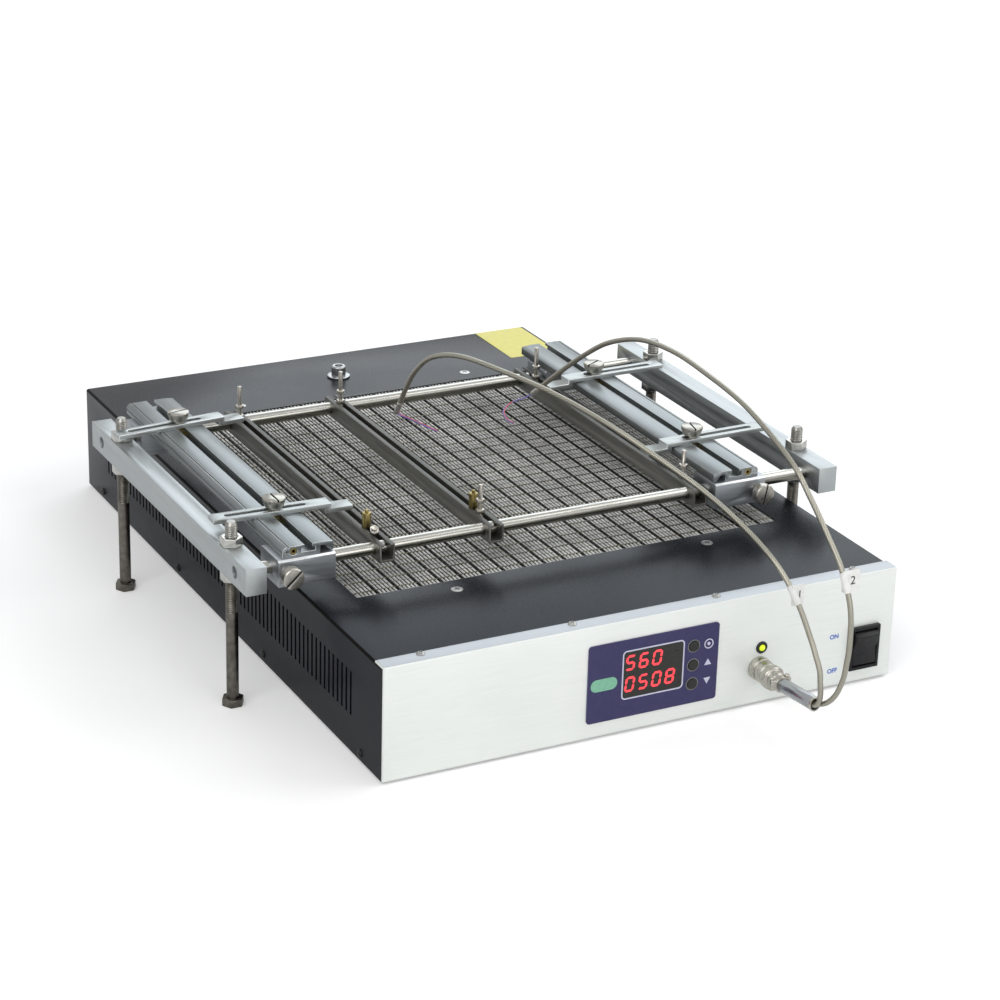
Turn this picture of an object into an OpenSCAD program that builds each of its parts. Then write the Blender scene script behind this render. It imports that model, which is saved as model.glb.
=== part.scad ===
// Infrared preheater with a free-standing board holder and a two-lead temperature sensor.
// Millimetres. X runs along the front panel, Y from the panel to the back, Z up from the bench.

/* [Heater base] */
// Width of the base
base_w = 372; // [360:1:374]
// Depth of the base, from the front face to the back wall
base_d = 530; // [520:1:545]
// Height of the base, from the bench to the top of the front panel
base_h = 80; // [76:1:84]
// Distance from the base's right wall to the middle of the legs beside it
leg_gap = 8.7; // [8.7:0.1:14]
// Height of the rubber feet
foot_h = 2; // [1:0.5:3]
// Thickness of the painted steel sheets
sheet_t = 1.2; // [0.8:0.1:1.6]
// Thickness of the aluminium front panel
panel_t = 1.6; // [1.2:0.1:2]
// Depth of the lip that the front panel folds over the top
lip_d = 12.5; // [12:0.5:16]
// Spacing of the vent slots in the side walls
vent_pitch = 6.6; // [6:0.2:9]

/* [Heater] */
// Width of the mesh opening
mesh_w = 314; // [290:1:320]
// Depth of the mesh opening
mesh_d = 334; // [310:1:340]
// Distance from the front face to the mesh opening
mesh_y = 102; // [98:1:108]
// Spacing of the bars that carry the mesh
mesh_pitch = 20; // [16:1:30]
// Diameter of a heater tube
tube_d = 11; // [9:0.5:13]
// Number of heater tubes
tube_count = 6; // [4:1:8]

/* [Front panel] */
// Width of the display overlay
overlay_w = 95; // [90:1:100]
// Height of the display overlay
overlay_h = 54; // [50:1:56]
// Radius of a button
button_r = 3.6; // [3:0.1:4]
// Width of the power switch's frame
switch_w = 22.5; // [21:0.5:26]
// Height of the power switch's frame
switch_h = 30.5; // [28:0.5:33]

/* [Board holder] */
// Distance between the middles of the two side bars
frame_w = 421.4; // [420:0.2:430]
// Length of a side bar
bar_len = 280; // [274:1:296]
// Width of a side bar
bar_w = 14; // [13:0.5:16]
// Height of a side bar and of the carriage blocks
bar_h = 18; // [17:0.5:20]
// Height of the bars' underside above the bench
bar_z = 94; // [91:1:100]
// Diameter of the guide rods
rod_d = 6; // [5:0.5:6.5]
// Distance between the guide rods
rod_span = 242; // [238:1:246]
// Distance between the two legs of one bar
leg_span = 198; // [192:1:202]
// Diameter of a leg bolt
leg_d = 8; // [6:0.5:9]

/* [Carriages] */
// Distance from the left side bar to the left carriage, between their middles
left_in = 36.3; // [31:0.1:38.5]
// Distance from the right side bar to the right carriage, between their middles
right_in = 67.4; // [53:0.1:68.6]
// Width of a carriage block, along the rods
block_w = 39; // [38:0.5:41]
// Length of a carriage block, across the rods
block_l = 29; // [24:1:31]
// Length of a rail
rail_len = 278; // [268:1:286]
// Height of a rail
rail_h = 7; // [6.5:0.5:9]

/* [Clamp arms] */
// Length of a clamp arm
arm_len = 95; // [91:1:98]
// Width of a clamp arm
arm_w = 11; // [10:0.5:13]
// Thickness of a clamp arm
arm_t = 3; // [2.5:0.5:4]
// Diameter of a clamp screw's head
knob_d = 15; // [13:0.5:16]

/* [Support channels] */
// Width of a support channel
channel_w = 10.5; // [10:0.5:12]
// Height of a support channel
channel_h = 12; // [11.5:0.5:13]
// Diameter of the studs on the channels
stud_d = 3; // [2.5:0.5:3.5]

/* [Sensor] */
// Diameter of a sensor cable
cable_d = 3.6; // [3.2:0.1:3.7]
// Diameter of the sleeve behind the plug
sleeve_d = 9.4; // [9.4:0.2:10.6]

/* [Hidden] */
$fn = 48;

// Clearances: a running fit on the radius, and the gap round a part that only passes through
fit = 0.05;
gap = 0.3;

// The base is placed so that the whole object is centred front to back, with its right wall beside the legs
base_shift = (frame_w - base_w) / 2 - leg_gap;
socket_l = 8;
flange_t = 2;
front_y = (socket_l - flange_t - base_d) / 2;
cover_z = base_h - panel_t;
floor_z = foot_h + sheet_t;

// Side vents
vent_w = 2.6;
vent_h = 30;
vent_z = 27;
vent_y = 46;
vent_n = floor((base_d - 2 * vent_y) / vent_pitch) + 1;

// Heater stack, from the floor up to the mesh
rim = 9;
rim_t = 1.5;
mesh_bar = 1.2;
mesh_rise = 0.4;
insulation_t = 20;
reflector_t = 0.8;
reflector_w = mesh_w + 8;
reflector_d = mesh_d + 8;
reflector_z = floor_z + insulation_t;
rim_z = cover_z - sheet_t - rim_t;
tube_z = reflector_z + 20;
tube_len = mesh_w - 8;
holder_t = 12;
tube_pitch = mesh_d / tube_count;

// Front panel places, from the middle of the panel and the bench
overlay_x = 2.5;
overlay_z = 39.5;
overlay_t = 1;
window_x = 2;
window_z = 42.5;
window_w = 44;
window_h = 33;
button_x = 31.4;
button_zs = [53, 39.7, 26.4];
button_out = 1.4;
plug_x = base_w / 2 - 104;
plug_z = 27.6;
socket_r = 6.4;
led_x = plug_x + 1.6;
led_z = 41.5;
led_r = 2.9;
switch_x = base_w / 2 - 22.8;
switch_z = 26.9;
switch_body_w = switch_w - 1.8;
switch_body_h = switch_h - 1.8;
rocker_w = switch_body_w - 2.6;
rocker_r = switch_body_h / 2 - 1.6;
rocker_tilt = 9;
rocker_y = 2;

// Accessory post about halfway from the mesh to the back, and mains inlet in the back wall
post_y = (mesh_y + mesh_d + base_d) / 2 - 3;
post_r = 5.5;
post_bore_r = 3;
inlet_x = 66 - base_w / 2;
inlet_z = 34;

// Board holder heights and places. Its middle stands a little in front of the base's middle
hold_fore = 25.5;
hold_y = front_y + base_d / 2 - hold_fore;
left_x = left_in - frame_w / 2;
right_x = frame_w / 2 - right_in;
rod_z = bar_z + bar_h / 2;
rod_sunk = 3;
deck_z = bar_z + bar_h;
leg_top = deck_z + 16;
nut_af = leg_d * 1.625;
nut_h = leg_d * 0.75;
foot_head_h = 5.5;
rail_y = 7;
rail_top = deck_z + rail_h;
rail_out = 15.5;
rail_in = 19.4;
slot_u = 2.2;
slot_w = 5.6;
lip_t = 2;
cavity_w = 9.6;
cavity_h = 3;
lock_u = block_w / 2 - 6;
lock_r = 2;
lock_out = 11;
driver_w = 1.2;
driver_h = 1.6;

// Clamp sets: place of each screw along Y from the holder's middle, arm angle and the distance
// from the arm's outer end to the screw
lf_y = -77;
lr_y = 91.2;
rf_y = -73.5;
rr_y = 66;
lf_turn = -2.5;
lr_turn = 4.8;
rf_turn = 1;
rr_turn = 1;
lf_out = 42.6;
lr_out = 47;
rf_out = 57;
rr_out = 56;
screw_r = 2;
neck_r = 4;
neck_h = 2;
knob_h = 6;
ledge_l = 15;
ledge_drop = 3.5;
ledge_t = 3;

// Support channels: places along X from the carriages, and their posts along Y from the holder's middle
channel_in = 57.4;
channel_step = 78;
channel_back = 28.3;
channel_xs = [left_x + channel_in, left_x + channel_in + channel_step, right_x - channel_back];
channel_t = 1.2;
channel_lip = 2;
channel_over = 10;
channel_z = rod_z - 6.6;
channel_top = channel_z + channel_h;
stud_nut_af = stud_d * 1.8;
stud_nut_h = stud_d * 0.8;
stud_low = 128;
stud_high = 132;
stud_front = -107;
stud_back = 115;
pillar_r = 3;
pillar_h = 10;

// Sensor lead: the sleeve leans to the side, and each cable follows a route of hand-picked points
// measured from the panel's face and the bench under the socket's middle
sleeve_lean = 7.5;
sleeve_y = -26;
sleeve_l = 35;
sleeve_bore = 10;
lean_dir = [sin(sleeve_lean), -cos(sleeve_lean), 0];
lean_side = [cos(sleeve_lean), sin(sleeve_lean), 0];
sleeve_end = [0, sleeve_y, plug_z] + sleeve_l * lean_dir;
pair_u = cable_d / 2 + 0.15;
start_a = sleeve_end - sleeve_bore * lean_dir - pair_u * lean_side;
start_b = sleeve_end - sleeve_bore * lean_dir + pair_u * lean_side;
route_a = [start_a, start_a + sleeve_bore * lean_dir, [3.3, -65.8, 31.5], [3, -67.5, 38.5],
    [2.6, -67, 45.2], [2.8, -65, 53.4], [2.3, -60, 62], [2.2, -54, 70], [-1.6, -40.4, 92.5],
    [-6, -22, 110], [-11.5, 8.5, 124], [-22, 43, 138], [-39.5, 83, 153], [-55, 116, 164.5], [-70.5, 158, 172.5],
    [-86, 200, 176], [-101.5, 236, 177.5], [-112, 258, 171], [-117, 273, 157], [-120, 283, 140],
    [-123.5, 289.5, 121]];
route_b = [start_b, start_b + sleeve_bore * lean_dir, [7, -66.5, 30.2], [7.8, -69.8, 32.8],
    [9.2, -72.5, 36.3], [10.5, -75.5, 42.4], [11.2, -79, 52.4], [10.5, -82, 63], [9.8, -84.5, 76],
    [9, -85, 96], [8.3, -81.7, 110], [7, -73.3, 126.3], [6.7, -57.7, 140.7], [7, -35, 158],
    [6, -11, 175], [4.5, 41, 193], [2.5, 94, 200.5], [1.5, 131, 202], [0, 168.5, 197.5],
    [-1.5, 205.5, 184], [-4, 232, 168], [-10.5, 261, 144.5], [-17.7, 285.8, 121]];
// The thin wires at the two tips
wires_a = [[-123.5, 289.5, 121], [-120, 284.7, 119.6], [-116.1, 271.4, 119.5], [-112.9, 257.4, 119.5],
    [-111, 250.3, 119.5]];
wires_b = [[-17.7, 285.8, 121], [-25, 284.2, 119.8], [-33.5, 281.8, 119.5], [-41.3, 277.5, 119.5],
    [-49, 269, 119.5], [-53.1, 261.4, 119.5], [-56.2, 250.5, 119.5], [-55.4, 243.2, 119.5]];
wire_d = 2;
tag_a = [-2.1, -38.2, 94.7];
tag_b = [7.6, -77.4, 118.6];
tag_w = 13;
tag_h = 14;
tag_t = 0.8;

// A smooth curve through route points, two steps to each stretch
function along(r, i) = r[max(0, min(len(r) - 1, i))];
function blend(a, b, c, d, t) =
    0.5 * (2 * b + (c - a) * t + (2 * a - 5 * b + 4 * c - d) * t * t + (3 * b - a - 3 * c + d) * t * t * t);
function curve(r) = [for (i = [0 : len(r) - 2], t = [0, 0.5])
    blend(along(r, i - 1), along(r, i), along(r, i + 1), along(r, i + 2), t), r[len(r) - 1]];
function unit(v) = v / norm(v);
function heading(p, i) = unit(along(p, i + 1) - along(p, i - 1));
// One ring of a round cord: the cords run across X, so X gives a steady side direction
function ring(p, i, d, sides) = let (t = heading(p, i), u = unit(cross(t, [1, 0, 0])), v = cross(t, u))
    [for (k = [0 : sides - 1]) p[i] + d / 2 * (u * cos(360 * k / sides) + v * sin(360 * k / sides))];

module cord(route, d, sides = 8) {
    p = curve(route);
    n = len(p);
    points = [for (i = [0 : n - 1]) each ring(p, i, d, sides)];
    walls = [for (i = [0 : n - 2], k = [0 : sides - 1]) let (a = i * sides + k, b = i * sides + (k + 1) % sides)
        each [[a, b, b + sides], [a, b + sides, a + sides]]];
    first = [for (k = [sides - 1 : -1 : 0]) k];
    last = [for (k = [0 : sides - 1]) (n - 1) * sides + k];
    polyhedron(points, concat(walls, [first, last]));
}

module in_base() {
    translate([base_shift, front_y, 0]) children();
}

module in_lead() {
    in_base() translate([plug_x, 0, 0]) children();
}

module in_holder() {
    translate([0, hold_y, 0]) children();
}

// A solid that runs along X with its outline given in Y and Z
module along_x(from, to) {
    translate([from, 0, 0]) rotate([90, 0, 90]) linear_extrude(to - from) children();
}

// A solid that runs along Y with its outline given in X and Z
module along_y(from, to) {
    translate([0, to, 0]) rotate([90, 0, 0]) linear_extrude(to - from) children();
}

module hex(af, h) {
    rotate(30) cylinder(r = af / 2 / cos(30), h = h, $fn = 6);
}

module bottom_tray() {
    color("#3a3c3f") in_base() along_y(panel_t, base_d - sheet_t) {
        w = base_w / 2 - sheet_t;
        polygon([[-w, foot_h], [w, foot_h], [w, foot_h + 12], [w - sheet_t, foot_h + 12], [w - sheet_t, floor_z],
            [-w + sheet_t, floor_z], [-w + sheet_t, foot_h + 12], [-w, foot_h + 12]]);
    }
}

module side_wall(x) {
    along_x(x, x + sheet_t) difference() {
        translate([panel_t, foot_h]) square([base_d - panel_t, cover_z - foot_h]);
        for (i = [0 : vent_n - 1]) translate([vent_y + i * vent_pitch, vent_z]) square([vent_w, vent_h]);
    }
}

module top_cover() {
    color("#2b2d31") in_base() {
        side_wall(-base_w / 2);
        side_wall(base_w / 2 - sheet_t);
        along_y(base_d - sheet_t, base_d) difference() {
            translate([-base_w / 2, foot_h]) square([base_w, cover_z - foot_h]);
            translate([inlet_x - 23, inlet_z - 12]) square([46, 24]);
        }
        translate([0, 0, cover_z - sheet_t]) linear_extrude(sheet_t) difference() {
            translate([-base_w / 2, panel_t]) square([base_w, base_d - panel_t]);
            translate([-mesh_w / 2, mesh_y]) square([mesh_w, mesh_d]);
            translate([0, post_y]) circle(r = post_r);
        }
    }
}

module front_panel() {
    color("#dfe3e5") in_base() difference() {
        along_x(-base_w / 2, base_w / 2) polygon([[0, foot_h], [panel_t, foot_h], [panel_t, cover_z],
            [lip_d, cover_z], [lip_d, base_h], [0, base_h]]);
        along_y(-1, panel_t + 1) {
            translate([window_x - window_w / 2, window_z - window_h / 2]) square([window_w, window_h]);
            for (z = button_zs) translate([button_x, z]) circle(r = button_r + gap);
            translate([led_x, led_z]) circle(r = led_r);
            translate([plug_x, plug_z]) circle(r = socket_r);
            translate([switch_x - switch_body_w / 2, switch_z - switch_body_h / 2])
                square([switch_body_w, switch_body_h]);
        }
    }
}

module base_feet() {
    color("#1b1b1c") in_base() for (x = [-1, 1], y = [30, base_d - 30])
        translate([x * (base_w / 2 - 26), y, 0]) cylinder(r = 9, h = foot_h);
}

// Every screw head on the casing: four on the lip, four round the mesh and four on each side
module base_screws() {
    color("#8d9092") in_base() {
        for (i = [-1.5 : 1 : 1.5]) translate([i * base_w / 3.55, 9, base_h])
            cylinder(r1 = 2.8, r2 = 2.2, h = 1.4);
        for (x = [-1, 1], y = [mesh_y - 14, mesh_y + mesh_d + 14])
            translate([x * mesh_w * 0.297, y, cover_z]) cylinder(r = 4, h = 0.4);
        for (s = [-1, 1], i = [0 : 3]) translate([s * base_w / 2, 33 + i * (base_d - 66) / 3, foot_h + 5])
            rotate([0, s * 90, 0]) cylinder(r = 2.8, h = 1.2);
    }
}

module insulation_board() {
    color("#d8d2c4") in_base() translate([-mesh_w / 2, mesh_y, floor_z]) cube([mesh_w, mesh_d, insulation_t]);
}

module reflector_tray() {
    h = rim_z - reflector_z;
    color("#c9ccd0") in_base() translate([-reflector_w / 2, mesh_y + mesh_d / 2 - reflector_d / 2, reflector_z])
        difference() {
            cube([reflector_w, reflector_d, h]);
            translate([reflector_t, reflector_t, reflector_t])
                cube([reflector_w - 2 * reflector_t, reflector_d - 2 * reflector_t, h]);
        }
}

module heater_tubes() {
    color("#e8e4da") in_base() for (i = [0 : tube_count - 1])
        translate([-tube_len / 2, mesh_y + (i + 0.5) * tube_pitch, tube_z]) rotate([0, 90, 0])
            cylinder(d = tube_d, h = tube_len);
}

// Two ceramic strips stand on the reflector's floor and hold the tubes' ends
module tube_holders() {
    z = reflector_z + reflector_t;
    color("#efece6") in_base() for (x = [-tube_len / 2, tube_len / 2 - holder_t])
        along_x(x, x + holder_t) difference() {
            translate([mesh_y + 4, z]) square([mesh_d - 8, tube_z + 9 - z]);
            for (i = [0 : tube_count - 1])
                translate([mesh_y + (i + 0.5) * tube_pitch, tube_z]) circle(d = tube_d);
        }
}

// A rim under the cover and a grid of bars that stands through the opening
module mesh_grille() {
    w = mesh_w - 1;
    d = mesh_d - 1;
    nx = round(w / mesh_pitch);
    ny = round(d / mesh_pitch);
    color("#a9aba6") in_base() translate([0, mesh_y + mesh_d / 2, rim_z]) {
        linear_extrude(rim_t) difference() {
            square([mesh_w + 2 * rim, mesh_d + 2 * rim], center = true);
            square([mesh_w - 6, mesh_d - 6], center = true);
        }
        linear_extrude(rim_t + sheet_t + mesh_rise) difference() {
            square([w, d], center = true);
            for (i = [0 : nx - 1], j = [0 : ny - 1])
                translate([-w / 2 + (i + 0.5) * w / nx, -d / 2 + (j + 0.5) * d / ny])
                    square([w / nx - mesh_bar, d / ny - mesh_bar], center = true);
        }
    }
}

// Control circuit on four posts, with its transformer, relay, capacitor and terminal block
module control_board() {
    w = 200;
    d = mesh_y - 44;
    z = floor_z + 8;
    color("#2f6b45") in_base() translate([14 - base_w / 2, 20, 0]) {
        translate([0, 0, z]) cube([w, d, 1.6]);
        for (x = [6, w - 6], y = [6, d - 6]) translate([x, y, floor_z]) cylinder(r = 3, h = 8.2);
        translate([12, 10, z + 1.4]) cube([44, 36, 32]);
        translate([68, 12, z + 1.4]) cube([28, 14, 16]);
        translate([110, 20, z + 1.4]) cylinder(r = 8, h = 24);
        translate([130, 30, z + 1.4]) cube([56, 12, 14]);
    }
}

// Finned sink for the power switch device, standing on the tray
module heat_sink() {
    fins = 8;
    color("#b9bcc0") in_base() along_y(34, mesh_y - 22) translate([66, floor_z]) {
        square([70, 4]);
        for (i = [0 : fins - 1]) translate([i * 68 / (fins - 1), 0]) square([2, 26]);
    }
}

// Mains inlet in the back wall: flange, socket with three pins, and fuse drawer
module mains_inlet() {
    color("#17181a") in_base() translate([inlet_x, base_d, inlet_z]) {
        difference() {
            union() {
                along_y(0, flange_t - 0.5) square([60, 32], center = true);
                along_y(-24, 0) square([46, 24], center = true);
            }
            along_y(-16, flange_t + 1) translate([-20, -8]) square([24, 16]);
        }
        for (p = [[-14, -2], [-8, 3], [-2, -2]]) along_y(-17, -4) translate(p) square([4, 1.6], center = true);
        along_y(flange_t - 1, flange_t) translate([7, -9]) square([14, 18]);
    }
}

// Threaded post that takes the stand of a hot-air arm: washer above the cover, collar below
module arm_post() {
    color("#6f7275") in_base() translate([0, post_y, cover_z]) rotate_extrude() polygon([
        [post_bore_r, -sheet_t - 8], [post_r + 3, -sheet_t - 8], [post_r + 3, -sheet_t], [post_r, -sheet_t],
        [post_r, 0], [8.7, 0], [8.7, 1.4], [post_r, 1.4], [post_r, 8.2], [post_r - 0.8, 9], [post_bore_r, 9]]);
}

module display_overlay() {
    color("#2c2950") in_base() along_y(-overlay_t, 0) difference() {
        translate([overlay_x - overlay_w / 2, overlay_z - overlay_h / 2]) square([overlay_w, overlay_h]);
        for (z = button_zs) translate([button_x, z]) circle(r = button_r + gap);
    }
}

// Digit block behind the overlay's window, on a circuit board held by four posts
module display_module() {
    w = 88;
    h = 46;
    color("#3d1416") in_base() {
        along_y(0, 9.2) translate([window_x - window_w / 2 + 0.5, window_z - window_h / 2 + 0.5])
            square([window_w - 1, window_h - 1]);
        along_y(9, 10.6) translate([overlay_x - w / 2, overlay_z - h / 2]) square([w, h]);
        for (x = [-1, 1], z = [-1, 1]) along_y(panel_t, 9.2)
            translate([overlay_x + x * (w / 2 - 4), overlay_z + z * (h / 2 - 3)]) circle(r = 2);
    }
}

module push_button(z) {
    color("#111214") in_base() translate([button_x, 0, z]) {
        along_y(-overlay_t - button_out, panel_t + 0.4) circle(r = button_r);
        along_y(panel_t + 0.4, 7.8) circle(r = 1.6);
    }
}

module button_set() {
    push_button(button_zs[0]);
}

module button_up() {
    push_button(button_zs[1]);
}

module button_down() {
    push_button(button_zs[2]);
}

module status_led() {
    color("#b7e01a") in_base() translate([led_x, 0, led_z]) rotate([-90, 0, 0]) rotate_extrude() polygon([
        [0, -2.6], [1.6, -2.2], [2.4, -1.4], [3.4, -1.2], [3.6, 0], [led_r, 0], [led_r, 9], [0, 9]]);
}

// Frame and body of the power switch, with a pocket for the rocker and bores for its pins
module switch_bezel() {
    color("#17181a") in_base() translate([switch_x, 0, switch_z]) difference() {
        union() {
            along_y(-3, 0) square([switch_w, switch_h], center = true);
            along_y(0, 20) square([switch_body_w, switch_body_h], center = true);
        }
        along_y(-4, 17) square([rocker_w + 0.6, switch_body_h - 2.4], center = true);
        translate([-switch_w, rocker_y, 0]) rotate([0, 90, 0]) cylinder(r = 1.5 + fit, h = 2 * switch_w);
    }
}

// The rocker is stored with its upper half pressed in, which is on
module switch_rocker() {
    color("#101113") in_base() translate([switch_x, rocker_y, switch_z]) rotate([rocker_tilt, 0, 0]) {
        along_x(-rocker_w / 2, rocker_w / 2) intersection() {
            circle(r = rocker_r);
            polygon([[-7.5, -rocker_r], [-4.6, 0], [-7.5, rocker_r], [6, rocker_r], [6, -rocker_r]]);
        }
        translate([-rocker_w / 2 - 1, 0, 0]) rotate([0, 90, 0]) cylinder(r = 1.5, h = rocker_w + 2);
    }
}

// Round panel socket for the sensor, with a nut behind the panel
module sensor_socket() {
    color("#c8c4b6") in_base() translate([plug_x, 0, plug_z]) rotate([-90, 0, 0]) rotate_extrude() polygon([
        [0, -socket_l], [7, -socket_l], [7, -6.2], [7.6, -6.2], [7.9, -5.8], [7.9, 0], [socket_r, 0],
        [socket_r, panel_t], [9, panel_t], [9, panel_t + 3], [socket_r, panel_t + 3], [socket_r, 16], [0, 16]]);
}

module side_bars() {
    color("#c3c8cb") in_holder() for (s = [-1, 1]) translate([s * frame_w / 2, 0, 0]) difference() {
        translate([-bar_w / 2, -bar_len / 2, bar_z]) cube([bar_w, bar_len, bar_h]);
        for (y = [-1, 1]) {
            translate([0, y * leg_span / 2, bar_z - 1]) cylinder(r = leg_d / 2 + fit, h = bar_h + 2);
            translate([-bar_w, y * rod_span / 2, rod_z]) rotate([0, 90, 0])
                cylinder(d = rod_d, h = 2 * bar_w);
            translate([s * (bar_w / 2 - rod_sunk), y * rod_span / 2, rod_z]) rotate([0, s * 90, 0])
                cylinder(d = rod_d + 2.2, h = bar_w);
        }
    }
}

module guide_rods() {
    half = (frame_w + bar_w) / 2 - rod_sunk;
    color("#d6d5cf") in_holder() for (y = [-1, 1]) translate([-half, y * rod_span / 2, rod_z])
        rotate([0, 90, 0]) cylinder(d = rod_d, h = 2 * half);
}

// Lock nuts above and below the bars, on the leg bolts
module lock_nuts() {
    color("#a39f92") in_holder() for (x = [-1, 1], y = [-1, 1])
        translate([x * frame_w / 2, y * leg_span / 2, 0]) difference() {
            union() {
                translate([0, 0, deck_z]) hex(nut_af, nut_h);
                translate([0, 0, bar_z - nut_h]) hex(nut_af, nut_h);
            }
            translate([0, 0, bar_z - 10]) cylinder(r = leg_d / 2 + fit, h = bar_h + 30);
        }
}

module leg_bolt(x, y) {
    color("#77736a") in_holder() translate([x * frame_w / 2, y * leg_span / 2, 0]) {
        hex(nut_af, foot_head_h);
        cylinder(d = leg_d, h = leg_top - 1);
        translate([0, 0, leg_top - 1]) cylinder(d1 = leg_d, d2 = leg_d - 2, h = 1);
    }
}

module leg_bolt_fl() {
    leg_bolt(-1, -1);
}

module leg_bolt_fr() {
    leg_bolt(1, -1);
}

module leg_bolt_rl() {
    leg_bolt(-1, 1);
}

module leg_bolt_rr() {
    leg_bolt(1, 1);
}

// Front and rear block of a carriage. s is 1 where the outer end is on the left
module blocks(x, s) {
    bevel = 1.2;
    color("#a9afb3") in_holder() translate([x, 0, 0]) for (y = [-1, 1]) difference() {
        along_x(-block_w / 2, block_w / 2) translate([y * rod_span / 2, 0]) polygon([
            [-block_l / 2, bar_z], [block_l / 2, bar_z], [block_l / 2, deck_z - bevel],
            [block_l / 2 - bevel, deck_z], [bevel - block_l / 2, deck_z], [-block_l / 2, deck_z - bevel]]);
        translate([-block_w, y * rod_span / 2, rod_z]) rotate([0, 90, 0])
            cylinder(r = rod_d / 2 + fit, h = 2 * block_w);
        if (y < 0) translate([-s * lock_u, -rod_span / 2, rod_z]) rotate([90, 0, 0])
            cylinder(r = lock_r + fit, h = block_l);
    }
}

// Extruded rail: a rounded shoulder and a groove, a screw channel, a T-slot and a hollow inner half
module rail_section() {
    u0 = slot_u - slot_w / 2;
    u1 = slot_u + slot_w / 2;
    c0 = slot_u - cavity_w / 2;
    c1 = slot_u + cavity_w / 2;
    h = rail_h;
    nose = h / 2;
    difference() {
        union() {
            polygon([[-rail_out, 0], [-rail_out, nose], [nose - rail_out, nose], [nose - rail_out, h],
                [u0, h], [u0, h - lip_t], [c0, h - lip_t], [c0, h - lip_t - cavity_h],
                [c1, h - lip_t - cavity_h], [c1, h - lip_t], [u1, h - lip_t], [u1, h],
                [11.5, h], [rail_in - 0.6, h - 0.7], [rail_in, h - 1.3], [rail_in, 0.6], [rail_in - 1.4, 0.3],
                [15.6, 2], [14, h - 2.6], [10.2, h - 2.6], [10.2, 0]]);
            translate([nose - rail_out, nose]) circle(r = nose);
        }
        translate([-7.8, nose]) circle(r = 2.5);
        translate([nose - rail_out + 0.2, h - 0.9]) square([0.9, 2]);
    }
}

module rail(x, s) {
    color("#bfc5c9") in_holder() translate([x, rail_y, deck_z]) along_y(-rail_len / 2, rail_len / 2)
        mirror([s < 0 ? 1 : 0, 0]) rail_section();
}

// Slotted thumb screw that locks a carriage on the front rod
module rod_lock(x, s, turn) {
    tip = block_l / 2 - rod_d / 2 - gap;
    color("#a8a18c") in_holder() translate([x - s * lock_u, -rod_span / 2 - block_l / 2, rod_z])
        rotate([90, 0, 0]) difference() {
            union() {
                translate([0, 0, -tip]) cylinder(r = lock_r, h = tip + 1);
                cylinder(r = 4, h = lock_out - knob_h);
                translate([0, 0, lock_out - knob_h]) cylinder(d = knob_d - 0.8, h = knob_h - 0.6);
                translate([0, 0, lock_out - 0.6]) cylinder(d1 = knob_d - 0.8, d2 = knob_d - 2, h = 0.6);
            }
            rotate(turn) translate([-knob_d, -driver_w / 2, lock_out - driver_h])
                cube([2 * knob_d, driver_w, knob_h]);
        }
}

module left_blocks() {
    blocks(left_x, 1);
}

module left_rail() {
    rail(left_x, 1);
}

module left_rod_lock() {
    rod_lock(left_x, 1, 42);
}

module right_blocks() {
    blocks(right_x, -1);
}

module right_rail() {
    rail(right_x, -1);
}

module right_rod_lock() {
    rod_lock(right_x, -1, 78);
}

// One clamp set stands in the T-slot of the rail at x. s is 1 for the left carriage
module at_clamp(x, y, s) {
    in_holder() translate([x + s * slot_u, y, deck_z]) children();
}

module clamp_nut(x, y, s) {
    play = 0.1;
    color("#b08d45") at_clamp(x, y, s) translate([0, 0, rail_h - lip_t - cavity_h + play]) difference() {
        translate([play - cavity_w / 2, -7, 0]) cube([cavity_w - 2 * play, 14, cavity_h - 2 * play]);
        translate([0, 0, -1]) cylinder(r = screw_r + fit, h = cavity_h + 2);
    }
}

module clamp_screw(x, y, s, turn) {
    neck_z = rail_h + arm_t;
    color("#b3ad9d") at_clamp(x, y, s) difference() {
        union() {
            translate([0, 0, rail_h - lip_t - cavity_h + 0.2]) cylinder(r = screw_r, h = neck_z);
            translate([0, 0, neck_z]) cylinder(r = neck_r, h = neck_h);
            translate([0, 0, neck_z + neck_h]) rotate_extrude() polygon([[0, 0], [knob_d * 0.41, 0],
                [knob_d / 2, knob_h - 2], [knob_d / 2, knob_h - 0.5], [knob_d / 2 - 0.6, knob_h], [0, knob_h]]);
        }
        rotate(turn) translate([-knob_d, -driver_w / 2, neck_z + neck_h + knob_h - driver_h])
            cube([2 * knob_d, driver_w, knob_h]);
    }
}

// A clamp arm: slotted flat bar with a lower ledge at its tip. out is the length outside the screw
module clamp_arm(x, y, s, turn, out) {
    slot = screw_r + 0.2;
    color("#ccd2d4") at_clamp(x, y, s) rotate(turn) mirror([s < 0 ? 1 : 0, 0, 0]) translate([-out, 0, rail_h]) {
        linear_extrude(arm_t) difference() {
            translate([0, -arm_w / 2]) square([arm_len - ledge_l, arm_w]);
            translate([11, -slot]) square([51, 2 * slot]);
            for (a = [11, 62]) translate([a, 0]) circle(r = slot);
        }
        translate([arm_len - ledge_l - 4, -arm_w / 2, arm_t - ledge_drop - ledge_t]) {
            cube([ledge_l + 4, arm_w, ledge_t]);
            cube([4, arm_w, ledge_drop + ledge_t]);
        }
    }
}

module clamp_nut_lf() {
    clamp_nut(left_x, lf_y, 1);
}

module clamp_screw_lf() {
    clamp_screw(left_x, lf_y, 1, 90);
}

module clamp_arm_lf() {
    clamp_arm(left_x, lf_y, 1, lf_turn, lf_out);
}

module clamp_nut_lr() {
    clamp_nut(left_x, lr_y, 1);
}

module clamp_screw_lr() {
    clamp_screw(left_x, lr_y, 1, 12.5);
}

module clamp_arm_lr() {
    clamp_arm(left_x, lr_y, 1, lr_turn, lr_out);
}

module clamp_nut_rf() {
    clamp_nut(right_x, rf_y, -1);
}

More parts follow.
